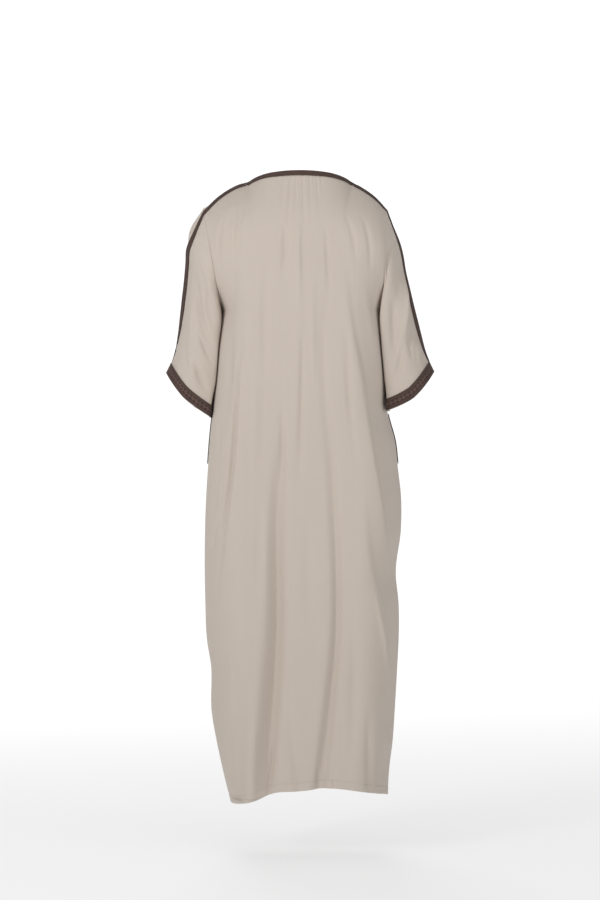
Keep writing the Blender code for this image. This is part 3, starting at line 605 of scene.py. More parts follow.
BACK_FOLDS = (
    Fold("valley", (0.009, 0.009), (0.004, 0.0),
         ((0.150, 0.055), (0.163, 0.120), (0.164, 0.180), (0.155, 0.240))),
    Fold("valley", (0.010, 0.012), (0.004, 0.0),
         ((0.120, 0.050), (0.148, 0.212), (0.166, 0.383), (0.170, 0.490))),
    Fold("step", (0.012, 0.014), (-0.006, 0.0),
         ((0.120, 0.262), (0.138, 0.425), (0.153, 0.639), (0.178, 0.851), (0.195, 1.012))),
    Fold("ridge", (0.016, 0.020), (0.0025, 0.0),
         ((0.000, 0.050), (0.002, 0.350), (0.004, 0.700))),
    Fold("valley", (0.013, 0.021), (0.022, 0.021),
         ((0.034, 0.529), (0.053, 0.754), (0.057, 1.042), (0.067, 1.196), (0.087, 1.415))),
    Fold("valley", (0.010, 0.012), (0.004, 0.005),
         ((0.030, 1.180), (0.012, 1.300), (-0.004, 1.415))),
    Fold("valley", (0.010, 0.013), (0.0075, 0.018),
         ((-0.055, 0.140), (-0.064, 0.250), (-0.055, 0.340), (-0.073, 0.708),
          (-0.080, 1.042), (-0.064, 1.214), (-0.041, 1.415))),
    Fold("step", (0.010, 0.014), (0.010, 0.0),
         ((-0.100, 0.160), (-0.120, 0.340), (-0.142, 0.448), (-0.159, 0.554),
          (-0.180, 0.678), (-0.199, 0.774), (-0.212, 0.869))),
    Fold("ridge", (0.009, 0.009), (0.004, 0.0),
         ((-0.142, 0.229), (-0.163, 0.340), (-0.178, 0.425), (-0.188, 0.512))),
    Fold("step", (0.012, 0.014), (0.007, 0.0),
         ((-0.142, 0.690), (-0.153, 0.793), (-0.172, 0.908), (-0.193, 0.984), (-0.212, 1.157))),
    Fold("ridge", (0.014, 0.018), (0.004, 0.006),
         ((0.099, 0.950), (0.102, 1.200), (0.112, 1.415))),
    Fold("valley", (0.012, 0.014), (0.004, 0.006),
         ((0.134, 0.950), (0.132, 1.200), (0.140, 1.415))),
)
FRONT_FOLDS = (
    Fold("valley", (0.012, 0.020), (0.006, 0.010),
         ((0.070, 0.240), (0.082, 0.600), (0.090, 1.000), (0.078, 1.415))),
    Fold("valley", (0.012, 0.020), (0.005, 0.009),
         ((0.020, 0.420), (0.012, 0.800), (0.024, 1.100), (0.030, 1.415))),
    Fold("valley", (0.012, 0.018), (0.005, 0.008),
         ((-0.050, 0.260), (-0.046, 0.650), (-0.062, 1.000), (-0.048, 1.415))),
    Fold("valley", (0.012, 0.020), (0.006, 0.010),
         ((-0.095, 0.300), (-0.110, 0.650), (-0.128, 1.000), (-0.120, 1.415))),
    Fold("valley", (0.012, 0.016), (0.005, 0.007),
         ((0.120, 0.400), (0.140, 0.750), (0.150, 1.100), (0.140, 1.415))),
    Fold("ridge", (0.014, 0.020), (0.004, 0.006),
         ((-0.010, 0.250), (-0.018, 0.700), (-0.014, 1.415))),
)

# Smaller creases between the folds, placed one by one
BACK_CREASES = (
    Fold("step", (0.009, 0.012), (0.0036, 0.0048),
         ((0.036, 0.560), (0.053, 0.754), (0.056, 1.042), (0.066, 1.196), (0.082, 1.408))),
    Fold("step", (0.007, 0.009), (0.0022, 0.0030),
         ((-0.064, 0.460), (-0.073, 0.708), (-0.079, 1.042), (-0.066, 1.214), (-0.052, 1.400))),
    Fold("valley", (0.005, 0.006), (0.0036, 0.0),
         ((0.130, 0.330), (0.142, 0.470), (0.153, 0.639), (0.172, 0.800), (0.190, 0.980))),
    Fold("valley", (0.006, 0.008), (0.0018, 0.0), ((0.036, 0.100), (0.034, 0.160), (0.038, 0.240))),
    Fold("ridge", (0.005, 0.006), (0.0016, 0.0), ((0.002, 0.090), (0.003, 0.170), (0.001, 0.290))),
    Fold("valley", (0.004, 0.006), (0.0018, 0.0), ((-0.057, 0.110), (-0.062, 0.180), (-0.067, 0.270))),
    Fold("valley", (0.006, 0.008), (0.0024, 0.0), ((0.126, 0.050), (0.140, 0.110), (0.149, 0.190))),
    Fold("valley", (0.004, 0.005), (0.0018, 0.0), ((0.176, 0.080), (0.182, 0.150), (0.180, 0.215))),
    Fold("valley", (0.006, 0.010), (0.0024, 0.0),
         ((-0.006, 0.320), (-0.005, 0.450), (-0.002, 0.600), (0.004, 0.720))),
    Fold("valley", (0.006, 0.008), (0.0012, 0.0), ((0.128, 0.330), (0.126, 0.450), (0.124, 0.600))),
    Fold("valley", (0.008, 0.010), (0.0024, 0.0), ((0.154, 0.330), (0.165, 0.470), (0.176, 0.600))),
    Fold("valley", (0.006, 0.006), (0.0018, 0.0), ((0.184, 0.500), (0.186, 0.600), (0.190, 0.690))),
    Fold("valley", (0.004, 0.004), (0.0016, 0.0), ((0.182, 0.660), (0.191, 0.710), (0.197, 0.770))),
    Fold("valley", (0.004, 0.004), (0.0016, 0.0), ((0.184, 0.775), (0.194, 0.810), (0.202, 0.860))),
    Fold("ridge", (0.004, 0.004), (0.0012, 0.0), ((0.196, 0.965), (0.206, 0.990), (0.212, 1.020))),
    Fold("valley", (0.005, 0.007), (0.0018, 0.0), ((0.042, 0.500), (0.040, 0.600), (0.040, 0.700))),
    Fold("valley", (0.0035, 0.004), (0.0026, 0.0012),
         ((0.056, 1.240), (0.064, 1.330), (0.074, 1.412))),
    Fold("valley", (0.003, 0.004), (0.0014, 0.0008), ((-0.041, 1.330), (-0.039, 1.365), (-0.038, 1.400))),
    Fold("valley", (0.003, 0.004), (0.0012, 0.0006), ((-0.056, 1.340), (-0.054, 1.370), (-0.052, 1.400))),
    Fold("valley", (0.004, 0.004), (0.0012, 0.0006), ((-0.075, 1.345), (-0.076, 1.370), (-0.078, 1.400))),
    Fold("valley", (0.008, 0.009), (0.0020, 0.0014), ((-0.155, 1.200), (-0.156, 1.300), (-0.158, 1.410))),
    Fold("ridge", (0.004, 0.005), (0.0026, 0.0), ((-0.166, 0.930), (-0.190, 1.050), (-0.208, 1.160))),
    Fold("ridge", (0.004, 0.004), (0.0018, 0.0), ((-0.188, 1.230), (-0.195, 1.290), (-0.200, 1.340))),
    Fold("step", (0.005, 0.006), (0.0036, 0.0),
         ((-0.144, 0.480), (-0.165, 0.620), (-0.190, 0.760), (-0.211, 0.900))),
    Fold("valley", (0.010, 0.012), (0.0014, 0.0), ((0.086, 0.700), (0.092, 0.850), (0.096, 1.000))),
    Fold("valley", (0.012, 0.012), (0.0012, 0.0), ((-0.020, 0.760), (-0.018, 0.900), (-0.022, 1.050))),
    Fold("valley", (0.012, 0.012), (0.0018, 0.0), ((-0.120, 1.000), (-0.122, 1.150), (-0.118, 1.320))),
    Fold("valley", (0.007, 0.008), (0.0016, 0.0), ((0.150, 1.040), (0.146, 1.190), (0.148, 1.340))),
    Fold("valley", (0.006, 0.006), (0.0018, 0.0008), ((0.166, 1.180), (0.158, 1.290), (0.152, 1.400))),
    Fold("ridge", (0.008, 0.008), (0.0014, 0.0), ((-0.030, 0.200), (-0.028, 0.330), (-0.032, 0.470))),
    Fold("valley", (0.010, 0.010), (0.0016, 0.0), ((0.075, 0.180), (0.080, 0.330), (0.078, 0.480))),
    Fold("ridge", (0.010, 0.010), (0.0016, 0.0), ((0.100, 0.420), (0.100, 0.560), (0.104, 0.700))),
    Fold("valley", (0.007, 0.008), (0.0020, 0.0), ((-0.104, 0.320), (-0.110, 0.480), (-0.124, 0.640))),
    Fold("valley", (0.006, 0.006), (0.0014, 0.0), ((-0.100, 0.075), (-0.118, 0.130), (-0.128, 0.200))),
    Fold("valley", (0.005, 0.006), (0.0016, 0.0), ((-0.140, 0.080), (-0.156, 0.140), (-0.160, 0.220))),
)
FRONT_CREASES = (
    Fold("valley", (0.006, 0.008), (0.0020, 0.0), ((0.062, 0.105), (0.080, 0.180), (0.086, 0.290))),
    Fold("valley", (0.006, 0.008), (0.0018, 0.0), ((-0.058, 0.110), (-0.074, 0.200), (-0.080, 0.320))),
    Fold("ridge", (0.007, 0.008), (0.0014, 0.0), ((0.010, 0.130), (0.016, 0.230), (0.012, 0.360))),
    Fold("valley", (0.005, 0.006), (0.0022, 0.0), ((0.120, 0.080), (0.134, 0.150), (0.142, 0.240))),
    Fold("valley", (0.005, 0.006), (0.0020, 0.0), ((-0.116, 0.080), (-0.134, 0.160), (-0.140, 0.250))),
    Fold("valley", (0.004, 0.005), (0.0016, 0.0), ((-0.150, 0.200), (-0.160, 0.250), (-0.158, 0.310))),
    Fold("ridge", (0.005, 0.006), (0.0020, 0.0), ((0.150, 0.420), (0.164, 0.550), (0.176, 0.700))),
    Fold("valley", (0.007, 0.008), (0.0020, 0.0), ((-0.130, 0.420), (-0.152, 0.580), (-0.172, 0.760))),
    Fold("valley", (0.004, 0.004), (0.0016, 0.0), ((0.176, 0.640), (0.188, 0.690), (0.198, 0.750))),
    Fold("valley", (0.004, 0.005), (0.0018, 0.0), ((-0.186, 0.620), (-0.196, 0.680), (-0.212, 0.760))),
    Fold("ridge", (0.010, 0.012), (0.0018, 0.0), ((0.050, 0.500), (0.048, 0.700), (0.056, 0.900))),
    Fold("valley", (0.009, 0.010), (0.0016, 0.0), ((-0.024, 0.560), (-0.030, 0.720), (-0.026, 0.900))),
    Fold("step", (0.006, 0.007), (0.0034, 0.0), ((-0.140, 0.820), (-0.166, 0.980), (-0.192, 1.150))),
    Fold("valley", (0.008, 0.009), (0.0018, 0.0), ((0.112, 0.900), (0.116, 1.060), (0.112, 1.240))),
    Fold("ridge", (0.004, 0.005), (0.0018, 0.0), ((0.168, 1.000), (0.162, 1.120), (0.154, 1.260))),
    Fold("valley", (0.004, 0.005), (0.0020, 0.0010), ((0.048, 1.200), (0.052, 1.300), (0.060, 1.410))),
    Fold("valley", (0.005, 0.006), (0.0016, 0.0010), ((-0.086, 1.180), (-0.084, 1.290), (-0.088, 1.410))),
    Fold("valley", (0.006, 0.007), (0.0018, 0.0010), ((-0.166, 1.160), (-0.164, 1.280), (-0.168, 1.410))),
)
PANEL_FOLDS = {BACK: BACK_FOLDS, FRONT: FRONT_FOLDS}
PANEL_CREASES = {BACK: BACK_CREASES, FRONT: FRONT_CREASES}
CREASE_STRENGTH = 2.4
SIDE_CALM = 0.14
TOP_CALM = 0.12


def gather_depth(x, down):
    """How far the gathers below the back neckline sink a point."""
    lift = np.zeros(x.shape)
    for row in BACK_GATHERS:
        share = np.clip((down + GATHER_TOP) / (row.length * GATHER_STRETCH), 0, 1)
        offset = (x - row.x - row.lean * down) / (row.width * (1 + share))
        fade = ease((down + GATHER_TOP) / GATHER_START) * ease(1 - share)
        lift = lift - row.depth * fade * np.exp(-offset * offset)
    return lift


def top_edge(side, across):
    """Neckline and shoulder seam of a panel, from one armhole to the other."""
    parts = []
    for name in ("x", "y", "z"):
        mirror = -1 if name == "x" else 1
        neck = NECKLINE[side] + SHOULDER[LEFT][:1]
        places = [-row.across for row in neck[:0:-1]] + [row.across for row in neck]
        values = [mirror * getattr(row, name) for row in neck[:0:-1]]
        values += [getattr(row, name) for row in neck]
        value = curve(places, values, across)
        for hand in (LEFT, RIGHT):
            end = sleeve_form(hand, np.zeros(1), np.zeros(1))[0] * (hand, 1, 1)
            rows = SHOULDER[hand] + (Top(1.0, *end),)
            seam = read(rows, name, np.abs(across)) * (hand if name == "x" else 1)
            value = np.where(hand * across > NECK_SHARE, seam, value)
        parts.append(value)
    return np.stack(parts, axis=-1)


def panel_form(side, across, fall):
    """A body panel's smooth form, and the armhole seam beside each point."""
    size = np.abs(across)
    top = top_edge(side, across)
    to_neck = 1 - ease(size / NECK_SHARE)
    drop = SHOULDER_DROP + (NECK_DROP[side] - SHOULDER_DROP) * to_neck
    cap = np.clip(fall, 0, 1)
    rounded = SHOULDER_SLOPE * cap + (1 - SHOULDER_SLOPE) * (1 - np.cos(cap * math.pi / 2))
    sinking = to_neck * cap + (1 - to_neck) * rounded
    z = top[..., 2] - drop * sinking
    z = z + (-UNDERARM - z) * np.clip(fall - 1, 0, 1)
    z = z + (-read(HEMS[side], "down", across) + UNDERARM) * np.clip(fall - 2, 0, 1)

    flat = np.clip(size / FLAT_SHARE, 0, 1)
    rounding = np.clip((size - FLAT_SHARE) / (1 - FLAT_SHARE), 0, 1) * math.pi / 2
    width = FLAT_WIDTH * flat + (1 - FLAT_WIDTH) * np.sin(rounding)
    depth = side * read(DEPTHS, "back" if side == BACK else "front", -z)
    edge = np.zeros(z.shape + (3,))
    x, y = np.zeros(z.shape), np.zeros(z.shape)
    for hand in (RIGHT, LEFT):
        here = (across >= 0) == (hand == LEFT)
        armhole = sleeve_form(hand, side * np.clip(fall, 0, 2), np.zeros_like(fall))
        reach = np.where(fall > 2, read(SIDES[hand], "reach", -z), hand * armhole[..., 0])
        seam_y = np.where(fall > 2, read(SIDES[hand], "seam_y", -z), armhole[..., 1])
        x = np.where(here, hand * reach * width, x)
        y = np.where(here, seam_y + (depth - seam_y) * np.cos(rounding), y)
        edge = np.where(here[..., None], armhole, edge)
    y = y - side * CROWN * size ** 2 * (1 - size ** 4)

    swing = to_neck * (1 - (1 - cap) ** 2) + (1 - to_neck) * np.sin(cap * math.pi / 2)
    x = top[..., 0] + (x - top[..., 0]) * ease(cap)
    y = top[..., 1] + (y - top[..., 1]) * swing
    return np.stack([x, y, z], axis=-1), edge


def panel_on_seams(side, across, fall):
    """The smooth panel, drawn to the armhole seam at its side edges."""
    across, fall = np.broadcast_arrays(np.asarray(across, float), np.asarray(fall, float))
    point, edge = panel_form(side, across, fall)
    end, _ = panel_form(side, np.where(across >= 0, 1.0, -1.0), fall)
    share = np.clip((np.abs(across) - FLAT_SHARE) / (1 - FLAT_SHARE), 0, 1) ** 2
    pull = (share * (fall <= 2))[..., None]
    return point + pull * (edge - end)


def panel_normal(side, across, fall):
    """Outward direction of the smooth panel."""
    step = 0.004
    a0, a1 = np.clip(across - step, -1, 1), np.clip(across + step, -1, 1)
    f0, f1 = np.clip(fall - step, 0, 3), np.clip(fall + step, 0, 3)
    over = panel_on_seams(side, a1, fall) - panel_on_seams(side, a0, fall)
    down = panel_on_seams(side, across, f1) - panel_on_seams(side, across, f0)
    return side * unit(np.cross(over, down))


def panel_surface(side, across, fall):
    """The panel's outer surface with its folds."""
    across, fall = np.broadcast_arrays(np.asarray(across, float), np.asarray(fall, float))
    point = panel_on_seams(side, across, fall)
    x, down = point[..., 0], -point[..., 2]
    lift = fold_depth(PANEL_FOLDS[side], x, down)
    lift = lift + CREASE_STRENGTH * fold_depth(PANEL_CREASES[side], x, down)
    if side == BACK:
        lift = lift + gather_depth(x, down)
    lift = lift * ease((1 - np.abs(across)) / SIDE_CALM) * ease(fall / TOP_CALM)
    return point + lift[..., None] * panel_normal(side, across, fall)


HEM_TURN = 0.018
HEM_BAND = 0.024
HEM_BAND_ROWS = 14
HEM_TURN_ROWS = 10
HEM_RAISE = 0.0004
HEM_EDGE = 0.002
STITCH_GROOVE = 0.0007
GROOVE_WIDTH = 0.0018
CAP_ROWS = 26
ARMHOLE_ROWS = 30
SKIRT_ROWS = 106
MIDDLE_SHARE = 0.17
MIDDLE_COLUMNS = {BACK: 36, FRONT: 18}
OUTER_COLUMNS = 78
SKIRT_LENGTH = 1.40 - UNDERARM


def above_hem(distance):
    """The fall at a distance above the hem."""
    return 3 - distance / SKIRT_LENGTH


def hem_press(fall):
    """How the turned-up hem shows: a full band, and a groove where it is stitched."""
    above = (3 - fall) * SKIRT_LENGTH
    band = HEM_RAISE * ease((HEM_TURN - above) / HEM_EDGE + 1)
    return band - STITCH_GROOVE * np.exp(-((above - HEM_TURN) / GROOVE_WIDTH) ** 2)


panel_fall = np.concatenate([
    np.linspace(0, 1, CAP_ROWS + 1),
    np.linspace(1, 2, ARMHOLE_ROWS + 1)[1:],
    np.linspace(2, above_hem(HEM_BAND), SKIRT_ROWS + 1)[1:],
    np.linspace(above_hem(HEM_BAND), 3, HEM_BAND_ROWS + 1)[1:],
])
for side, side_name in ((BACK, "back"), (FRONT, "front")):
    half = np.concatenate([
        np.linspace(0, MIDDLE_SHARE, MIDDLE_COLUMNS[side] + 1),
        np.linspace(MIDDLE_SHARE, 1, OUTER_COLUMNS + 1)[1:],
    ])
    across, fall = np.meshgrid(np.concatenate([-half[:0:-1], half]), panel_fall)
    grid = panel_surface(side, across, fall)
    grid = grid + directions(grid, side) * hem_press(fall)[..., None]
    skin.append((grid, side == FRONT))
    inwards = -directions(grid, side)
    grid = grid.copy()
    grid[:, 0] = draw_back(grid[:, 0], grid[:, 1])
    grid[:, -1] = draw_back(grid[:, -1], grid[:, -2])
    layers = [grid, inwards, cut_places(grid)]
    layers = turn_edge(layers, 1, True, SEAM_TURN)
    layers = turn_edge(layers, 1, False, SEAM_TURN)
    layers = turn_edge(layers, 0, True, SEAM_TURN)
    layers = turn_edge(layers, 0, False, HEM_TURN_ROWS)
    sheet_of(side_name + "_panel_cloth", layers[0], layers[2], cloth,
                            side == FRONT, CLOTH_THICK)
    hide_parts(side_name + "_panel")


# Plaited braid
# Dark flat braid, plaited between two twisted edge cords. It goes once round the neckline, over
# each shoulder seam and down the sleeve's top seam, round both cuffs, where it is wide and has a
# chain of lozenges in a lighter thread, and round the pocket slits. It is sewn on along its edges.

NECK_BRAID = 0.013
SHOULDER_BRAID = 0.015
CUFF_BRAID = 0.026
POCKET_BRAID = 0.007
BRAID_FROM_EDGE = 0.001
BRAID_LINES = np.array([0.0, 0.5, 1.0])
BRAID_APART = 0.0008
BRAID_START_SLANT = 0.5
BRAID_GAP = 0.0004
BRAID_BODY = 0.0010
BRAID_WALL = 0.0010
CORD = 0.0011
CORD_TWIST = 0.0030
PLAIT = 0.0036
RELIEF = 0.0006
TWIST_DEPTH = 0.2
# Painted highlight: how much lighter the crests of the strands and the tops of the cords are painted.
STRAND_CREST_HIGHLIGHT = 0.35
CORD_TOP_HIGHLIGHT = 0.25
CHAIN_REACH = 0.0048
CHAIN_RELIEF = RELIEF * 1.3
RAIL_RELIEF = RELIEF * 0.5
RAIL_AWAY = 0.0005
RAIL_WIDTH = 0.0006
LOZENGE = 0.0105
LOZENGE_REACH = 0.72
LOZENGE_LINE = 0.16
LOZENGE_EYE = 0.18
FINE = 0.0009
EVENINGS = 6
POCKET_TOP = 0.545
POCKET_FOOT = 0.645
JUST_OUTSIDE = 0.008
SHOULDER_LINES = (0.03, 0.5, 1.0)
NECK_POINTS = 60
SEAM_POINTS = 81
SHOULDER_POINTS = 17
SLEEVE_POINTS = 27
CUFF_POINTS = 97
SLIT_POINTS = 20
BEND_POINTS = 8
FIBRE_SCALE = 900.0
BRAID_DARK = (0.032, 0.019, 0.016, 1.0)
BRAID_LIGHT = (0.200, 0.118, 0.094, 1.0)

braid = Finish("braid_threads", {"Sheen Weight": 0.08, "Sheen Roughness": 0.5,
                                 "Specular IOR Level": 0.3})
# The thread attribute carries painted highlight on the strands' crests and the cords' tops, and the
# lozenge chain's lighter thread.
highlight_and_lozenge_thread = braid.node("Attribute", {"attribute_name": "thread"}, {}, output=2)
braid_place = braid.node("UVMap", {"uv_map": "cut"}, {})
strands = braid.node("TexNoise", {}, {"Vector": braid_place, "Scale": FIBRE_SCALE, "Detail": 2.0})
faded = braid.node("TexNoise", {}, {"Vector": braid_place, "Scale": 60.0, "Detail": 2.0})
tone = highlight_and_lozenge_thread * 0.8 + strands * 0.25 + faded * 0.25 - 0.18
braid.paint(braid.mix(tone, BRAID_DARK, BRAID_LIGHT), 0.62 + strands * 0.25, strands, 0.6, 0.0004)

points = np.concatenate([grid.reshape(-1, 3) for grid, _ in skin])
quads, base = [], 0
for grid, flip in skin:
    index = base + np.arange(grid.shape[0] * grid.shape[1]).reshape(grid.shape[:2])
    corners = [index[:-1, :-1], index[:-1, 1:], index[1:, 1:], index[1:, :-1]]
    found = np.stack([corner.ravel() for corner in corners], axis=-1)
    quads.append(found[:, ::-1] if flip else found)
    base += index.size
cloth_tree = BVHTree.FromPolygons(points.tolist(), np.concatenate(quads).tolist())


def plait(along, beside, width, lozenge):
    """Height and lightness of a braid's threads, at metres along it and off its middle. The lightness is
    painted highlight on the crests of the strands and the tops of the cords, and the lighter thread of
    the lozenge chain.
    """
    edge = width / 2 - np.abs(beside)
    bulge = np.sqrt(np.clip(1 - ((edge - CORD) / CORD) ** 2, 0, 1))
    twist = 1 + TWIST_DEPTH * np.sin(2 * math.pi * (along / CORD_TWIST + edge / CORD / 3))
    ridge = np.abs(np.sin(math.pi * (along + np.abs(beside)) / PLAIT))
    inside = edge > 2 * CORD
    height = np.where(inside, RELIEF * ridge, CORD * bulge * twist)
    # The strands' crests and the cords' tops are painted lighter as they rise: painted highlight.
    light = np.where(inside, STRAND_CREST_HIGHLIGHT * ridge, CORD_TOP_HIGHLIGHT * bulge * twist)
    if lozenge:
        reach = 2 * np.abs((along / lozenge) % 1 - 0.5) + np.abs(beside) / CHAIN_REACH
        chain = (ease(1.6 - np.abs(reach - LOZENGE_REACH) / LOZENGE_LINE)
                 + ease(1.5 - reach / LOZENGE_EYE))
        centre = np.abs(beside) < CHAIN_REACH
        rail = ease(1.5 - np.abs(np.abs(beside) - CHAIN_REACH - RAIL_AWAY) / RAIL_WIDTH)
        height = np.where(centre, CHAIN_RELIEF * chain, height) + RAIL_RELIEF * rail
        light = np.where(centre, chain, light)
    return height, light


def smoothed(normals, ring):
    """Even out a braid's outward directions along its length."""
    for _ in range(EVENINGS):
        ends = (normals[-2:-1], normals[1:2]) if ring else (normals[:1], normals[-1:])
        looped = np.concatenate([ends[0], normals, ends[1]])
        normals = unit(looped[:-2] + 2 * looped[1:-1] + looped[2:])
    return normals


def metres_along(line):
    """The distance along a line of points, at each of them."""
    return np.concatenate([[0], np.cumsum(np.linalg.norm(np.diff(line, axis=0), axis=1))])


def lay_braid(name, strip, width, ring, lozenge=0.0):
    """Lay a braid on the cloth along a strip of three lines: one edge, the middle, the other."""
    run = metres_along(strip[:, 1])
    steps = int(run[-1] / FINE)
    if lozenge:
        lozenge = run[-1] / round(run[-1] / lozenge)
    along = np.linspace(0, run[-1], steps + 1)
    lines = curve(run, strip, along)
    share = np.linspace(0, 1, int(width / FINE) + 1)[None, :, None]
    near, middle, far = (lines[:, index:index + 1] for index in range(3))
    grid = (near * (1 - share) * (1 - 2 * share) + middle * 4 * share * (1 - share)
            + far * share * (2 * share - 1))
    found = [[cloth_tree.find_nearest(point)[:2] for point in row] for row in grid.tolist()]
    on_cloth = np.array([[hit[0] for hit in row] for row in found])
    normals = smoothed(unit(np.array([[hit[1] for hit in row] for row in found])), ring)
    beside = (share[..., 0] - 0.5) * width
    height, light = plait(along[:, None], beside, width, lozenge)
    laid = on_cloth + normals * (BRAID_GAP + BRAID_BODY + height)[..., None]
    if ring:
        laid[-1] = laid[0]
    facing = np.cross(laid[1:, 1:] - laid[1:, :-1], laid[1:, 1:] - laid[:-1, 1:])
    flip = (facing * normals[1:, 1:]).sum() < 0
    cut = np.stack(np.broadcast_arrays(beside, along[:, None]), axis=-1)
    piece = sheet_of(name, laid, cut, braid, flip, BRAID_WALL, ring, light.ravel())
    return piece, laid, normals


def even_steps(line, steps):
    """Pick places at even distances along a line of points."""
    run = metres_along(line)
    at = np.linspace(0, run[-1], steps + 1)
    return np.stack([np.interp(at, run, line[:, axis]) for axis in range(3)], axis=-1)


def neck_strip():
    """Three lines round the neckline, just outside it."""
    across = np.linspace(-NECK_SHARE, NECK_SHARE, 2 * NECK_POINTS + 1)
    line = np.concatenate([top_edge(BACK, across), top_edge(FRONT, across[::-1])[1:]])
    path = even_steps(line, NECK_POINTS)
    looped = np.concatenate([path[-2:-1], path, path[1:2]])
    along = unit(looped[2:] - looped[:-2])
    away = unit((path - path.mean(axis=0)) * (1, 1, 0))
    beside = path + JUST_OUTSIDE * away
    facing = smoothed(np.array([cloth_tree.find_nearest(point)[1] for point in beside]), True)
    outwards = unit(np.cross(along, facing))
    outwards = outwards * np.sign((outwards * away).sum())
    widths = BRAID_FROM_EDGE + NECK_BRAID * BRAID_LINES
    return path[:, None] + outwards[:, None] * widths[None, :, None]


def step_over(width, step, here, there):
    """How far to go for a width of cloth, when one step leads from here to there."""
    return width * step / np.linalg.norm(there - here, axis=-1)


def cuff_place(hand, turn, width):
    """How far along the sleeve a line lies that runs at one width above its cuff."""
    step = 0.05
    return 1.0 - step_over(width, step, sleeve_form(hand, turn, 1.0 - step + 0 * turn),
                           sleeve_form(hand, turn, 1.0 + 0 * turn))


def shoulder_strip(hand):
    """Three lines down the shoulder seam and the sleeve's top seam, to just above the cuff."""
    across = np.linspace(NECK_SHARE, 1.0, SEAM_POINTS)
    line = top_edge(BACK, hand * across)
    run = metres_along(line)
    share = np.linspace(0, 1, SLEEVE_POINTS)[1:]
    step = 0.02
    columns = []
    for part in SHOULDER_LINES:
        width = part * SHOULDER_BRAID
        start = BRAID_FROM_EDGE + NECK_BRAID + BRAID_APART
        start = start - BRAID_START_SLANT * width
        at = np.linspace(start, run[-1], SHOULDER_POINTS)
        places = hand * np.interp(at, run, across)
        fall = step_over(width, step, panel_on_seams(BACK, places, 0.0),
                         panel_on_seams(BACK, places, step))
        on_shoulder = panel_surface(BACK, places, fall)
        turn = step_over(width, step, sleeve_form(hand, 0.0 * share, share),
                         sleeve_form(hand, step, share))
        end = cuff_place(hand, turn[-1:], CUFF_BRAID + BRAID_APART + BRAID_FROM_EDGE)
        columns.append(np.concatenate([on_shoulder, sleeve_surface(hand, turn, share * end)]))
    return np.stack(columns, axis=1)


def cuff_strip(hand):
    """Three lines round the cuff."""
    turn = np.linspace(-2, 2, CUFF_POINTS)
    widths = BRAID_FROM_EDGE + CUFF_BRAID * BRAID_LINES
    return np.stack([sleeve_surface(hand, turn, cuff_place(hand, turn, width))
                     for width in widths], axis=1)


def pocket_strip(hand):
    """Three lines round the pocket slit in a side seam."""
    height = POCKET_FOOT - POCKET_TOP
    hem = read(BACK_HEM, "down", hand)
    columns = []
    for width in BRAID_FROM_EDGE + POCKET_BRAID * BRAID_LINES:
        beside, below = [], []
        for out, way in ((width, 1), (-width, -1)):
            beside += [out] * SLIT_POINTS
            below += list(way * height * (np.arange(SLIT_POINTS) / SLIT_POINTS - 0.5))
            bend = np.arange(BEND_POINTS) / BEND_POINTS * math.pi
            beside += list(out * np.cos(bend))
            below += list(way * (height / 2 + width * np.sin(bend)))
        beside = np.array(beside + beside[:1])
        down = (POCKET_TOP + POCKET_FOOT) / 2 + np.array(below + below[:1])
        fall = 2 + (down - UNDERARM) / (hem - UNDERARM)
        step = 0.02
        line = np.zeros((len(beside), 3))
        for side, there in ((BACK, beside >= 0), (FRONT, beside < 0)):
            inwards = step_over(np.abs(beside), step, panel_on_seams(side, hand, fall),
                                panel_on_seams(side, hand * (1 - step), fall))
            points = panel_surface(side, hand * (1 - inwards), fall)
            line = line + points * there[:, None]
        columns.append(line)
    return np.stack(columns, axis=1)


sewn = {}
piece, *sewn["neck"] = lay_braid("neck_braid_plait", neck_strip(), NECK_BRAID, True)
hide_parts("neck_braid")
for hand, side_name in ((LEFT, "left"), (RIGHT, "right")):
    for kind, strip, width, ring, lozenge in (
            ("shoulder", shoulder_strip(hand), SHOULDER_BRAID, False, 0.0),
            ("cuff", cuff_strip(hand), CUFF_BRAID, True, LOZENGE),
            ("pocket", pocket_strip(hand), POCKET_BRAID, True, 0.0)):
        name = kind + "_braid_" + side_name
        piece, *sewn[kind + side_name] = lay_braid(name + "_plait", strip, width, ring, lozenge)
        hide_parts(name)


# Stitching
# Small even stitches in matching thread: along both edges of every braid but those round the pocket
# slits, and along the top of the turned-up hem.

STITCH = 0.0024
STITCH_PITCH = 0.0034
THREAD_RADIUS = 0.00026
STITCH_TILT = 0.06
EDGE_ROW = 2 * CORD + 0.0006
HEM_REACH = 0.99
HEM_POINTS = 400
HEM_THREAD = ((0.42, 0.36, 0.31, 1.0), (0.52, 0.45, 0.39, 1.0))
BRAID_THREAD = ((0.06, 0.04, 0.032, 1.0), (0.10, 0.066, 0.054, 1.0))

steady = np.random.default_rng(7)


def thread_finish(name, dark, light):
    """Plain spun thread, a little fuzzy."""
    thread = Finish(name, {"Sheen Weight": 0.1})
    place = thread.node("TexCoord", {}, {}, output=3)
    fuzz = thread.node("TexNoise", {}, {"Vector": place, "Scale": FIBRE_SCALE, "Detail": 1.0})
    thread.paint(thread.mix(fuzz, dark, light), 0.6 + fuzz * 0.2, fuzz, 0.4, 0.0002)
    return thread


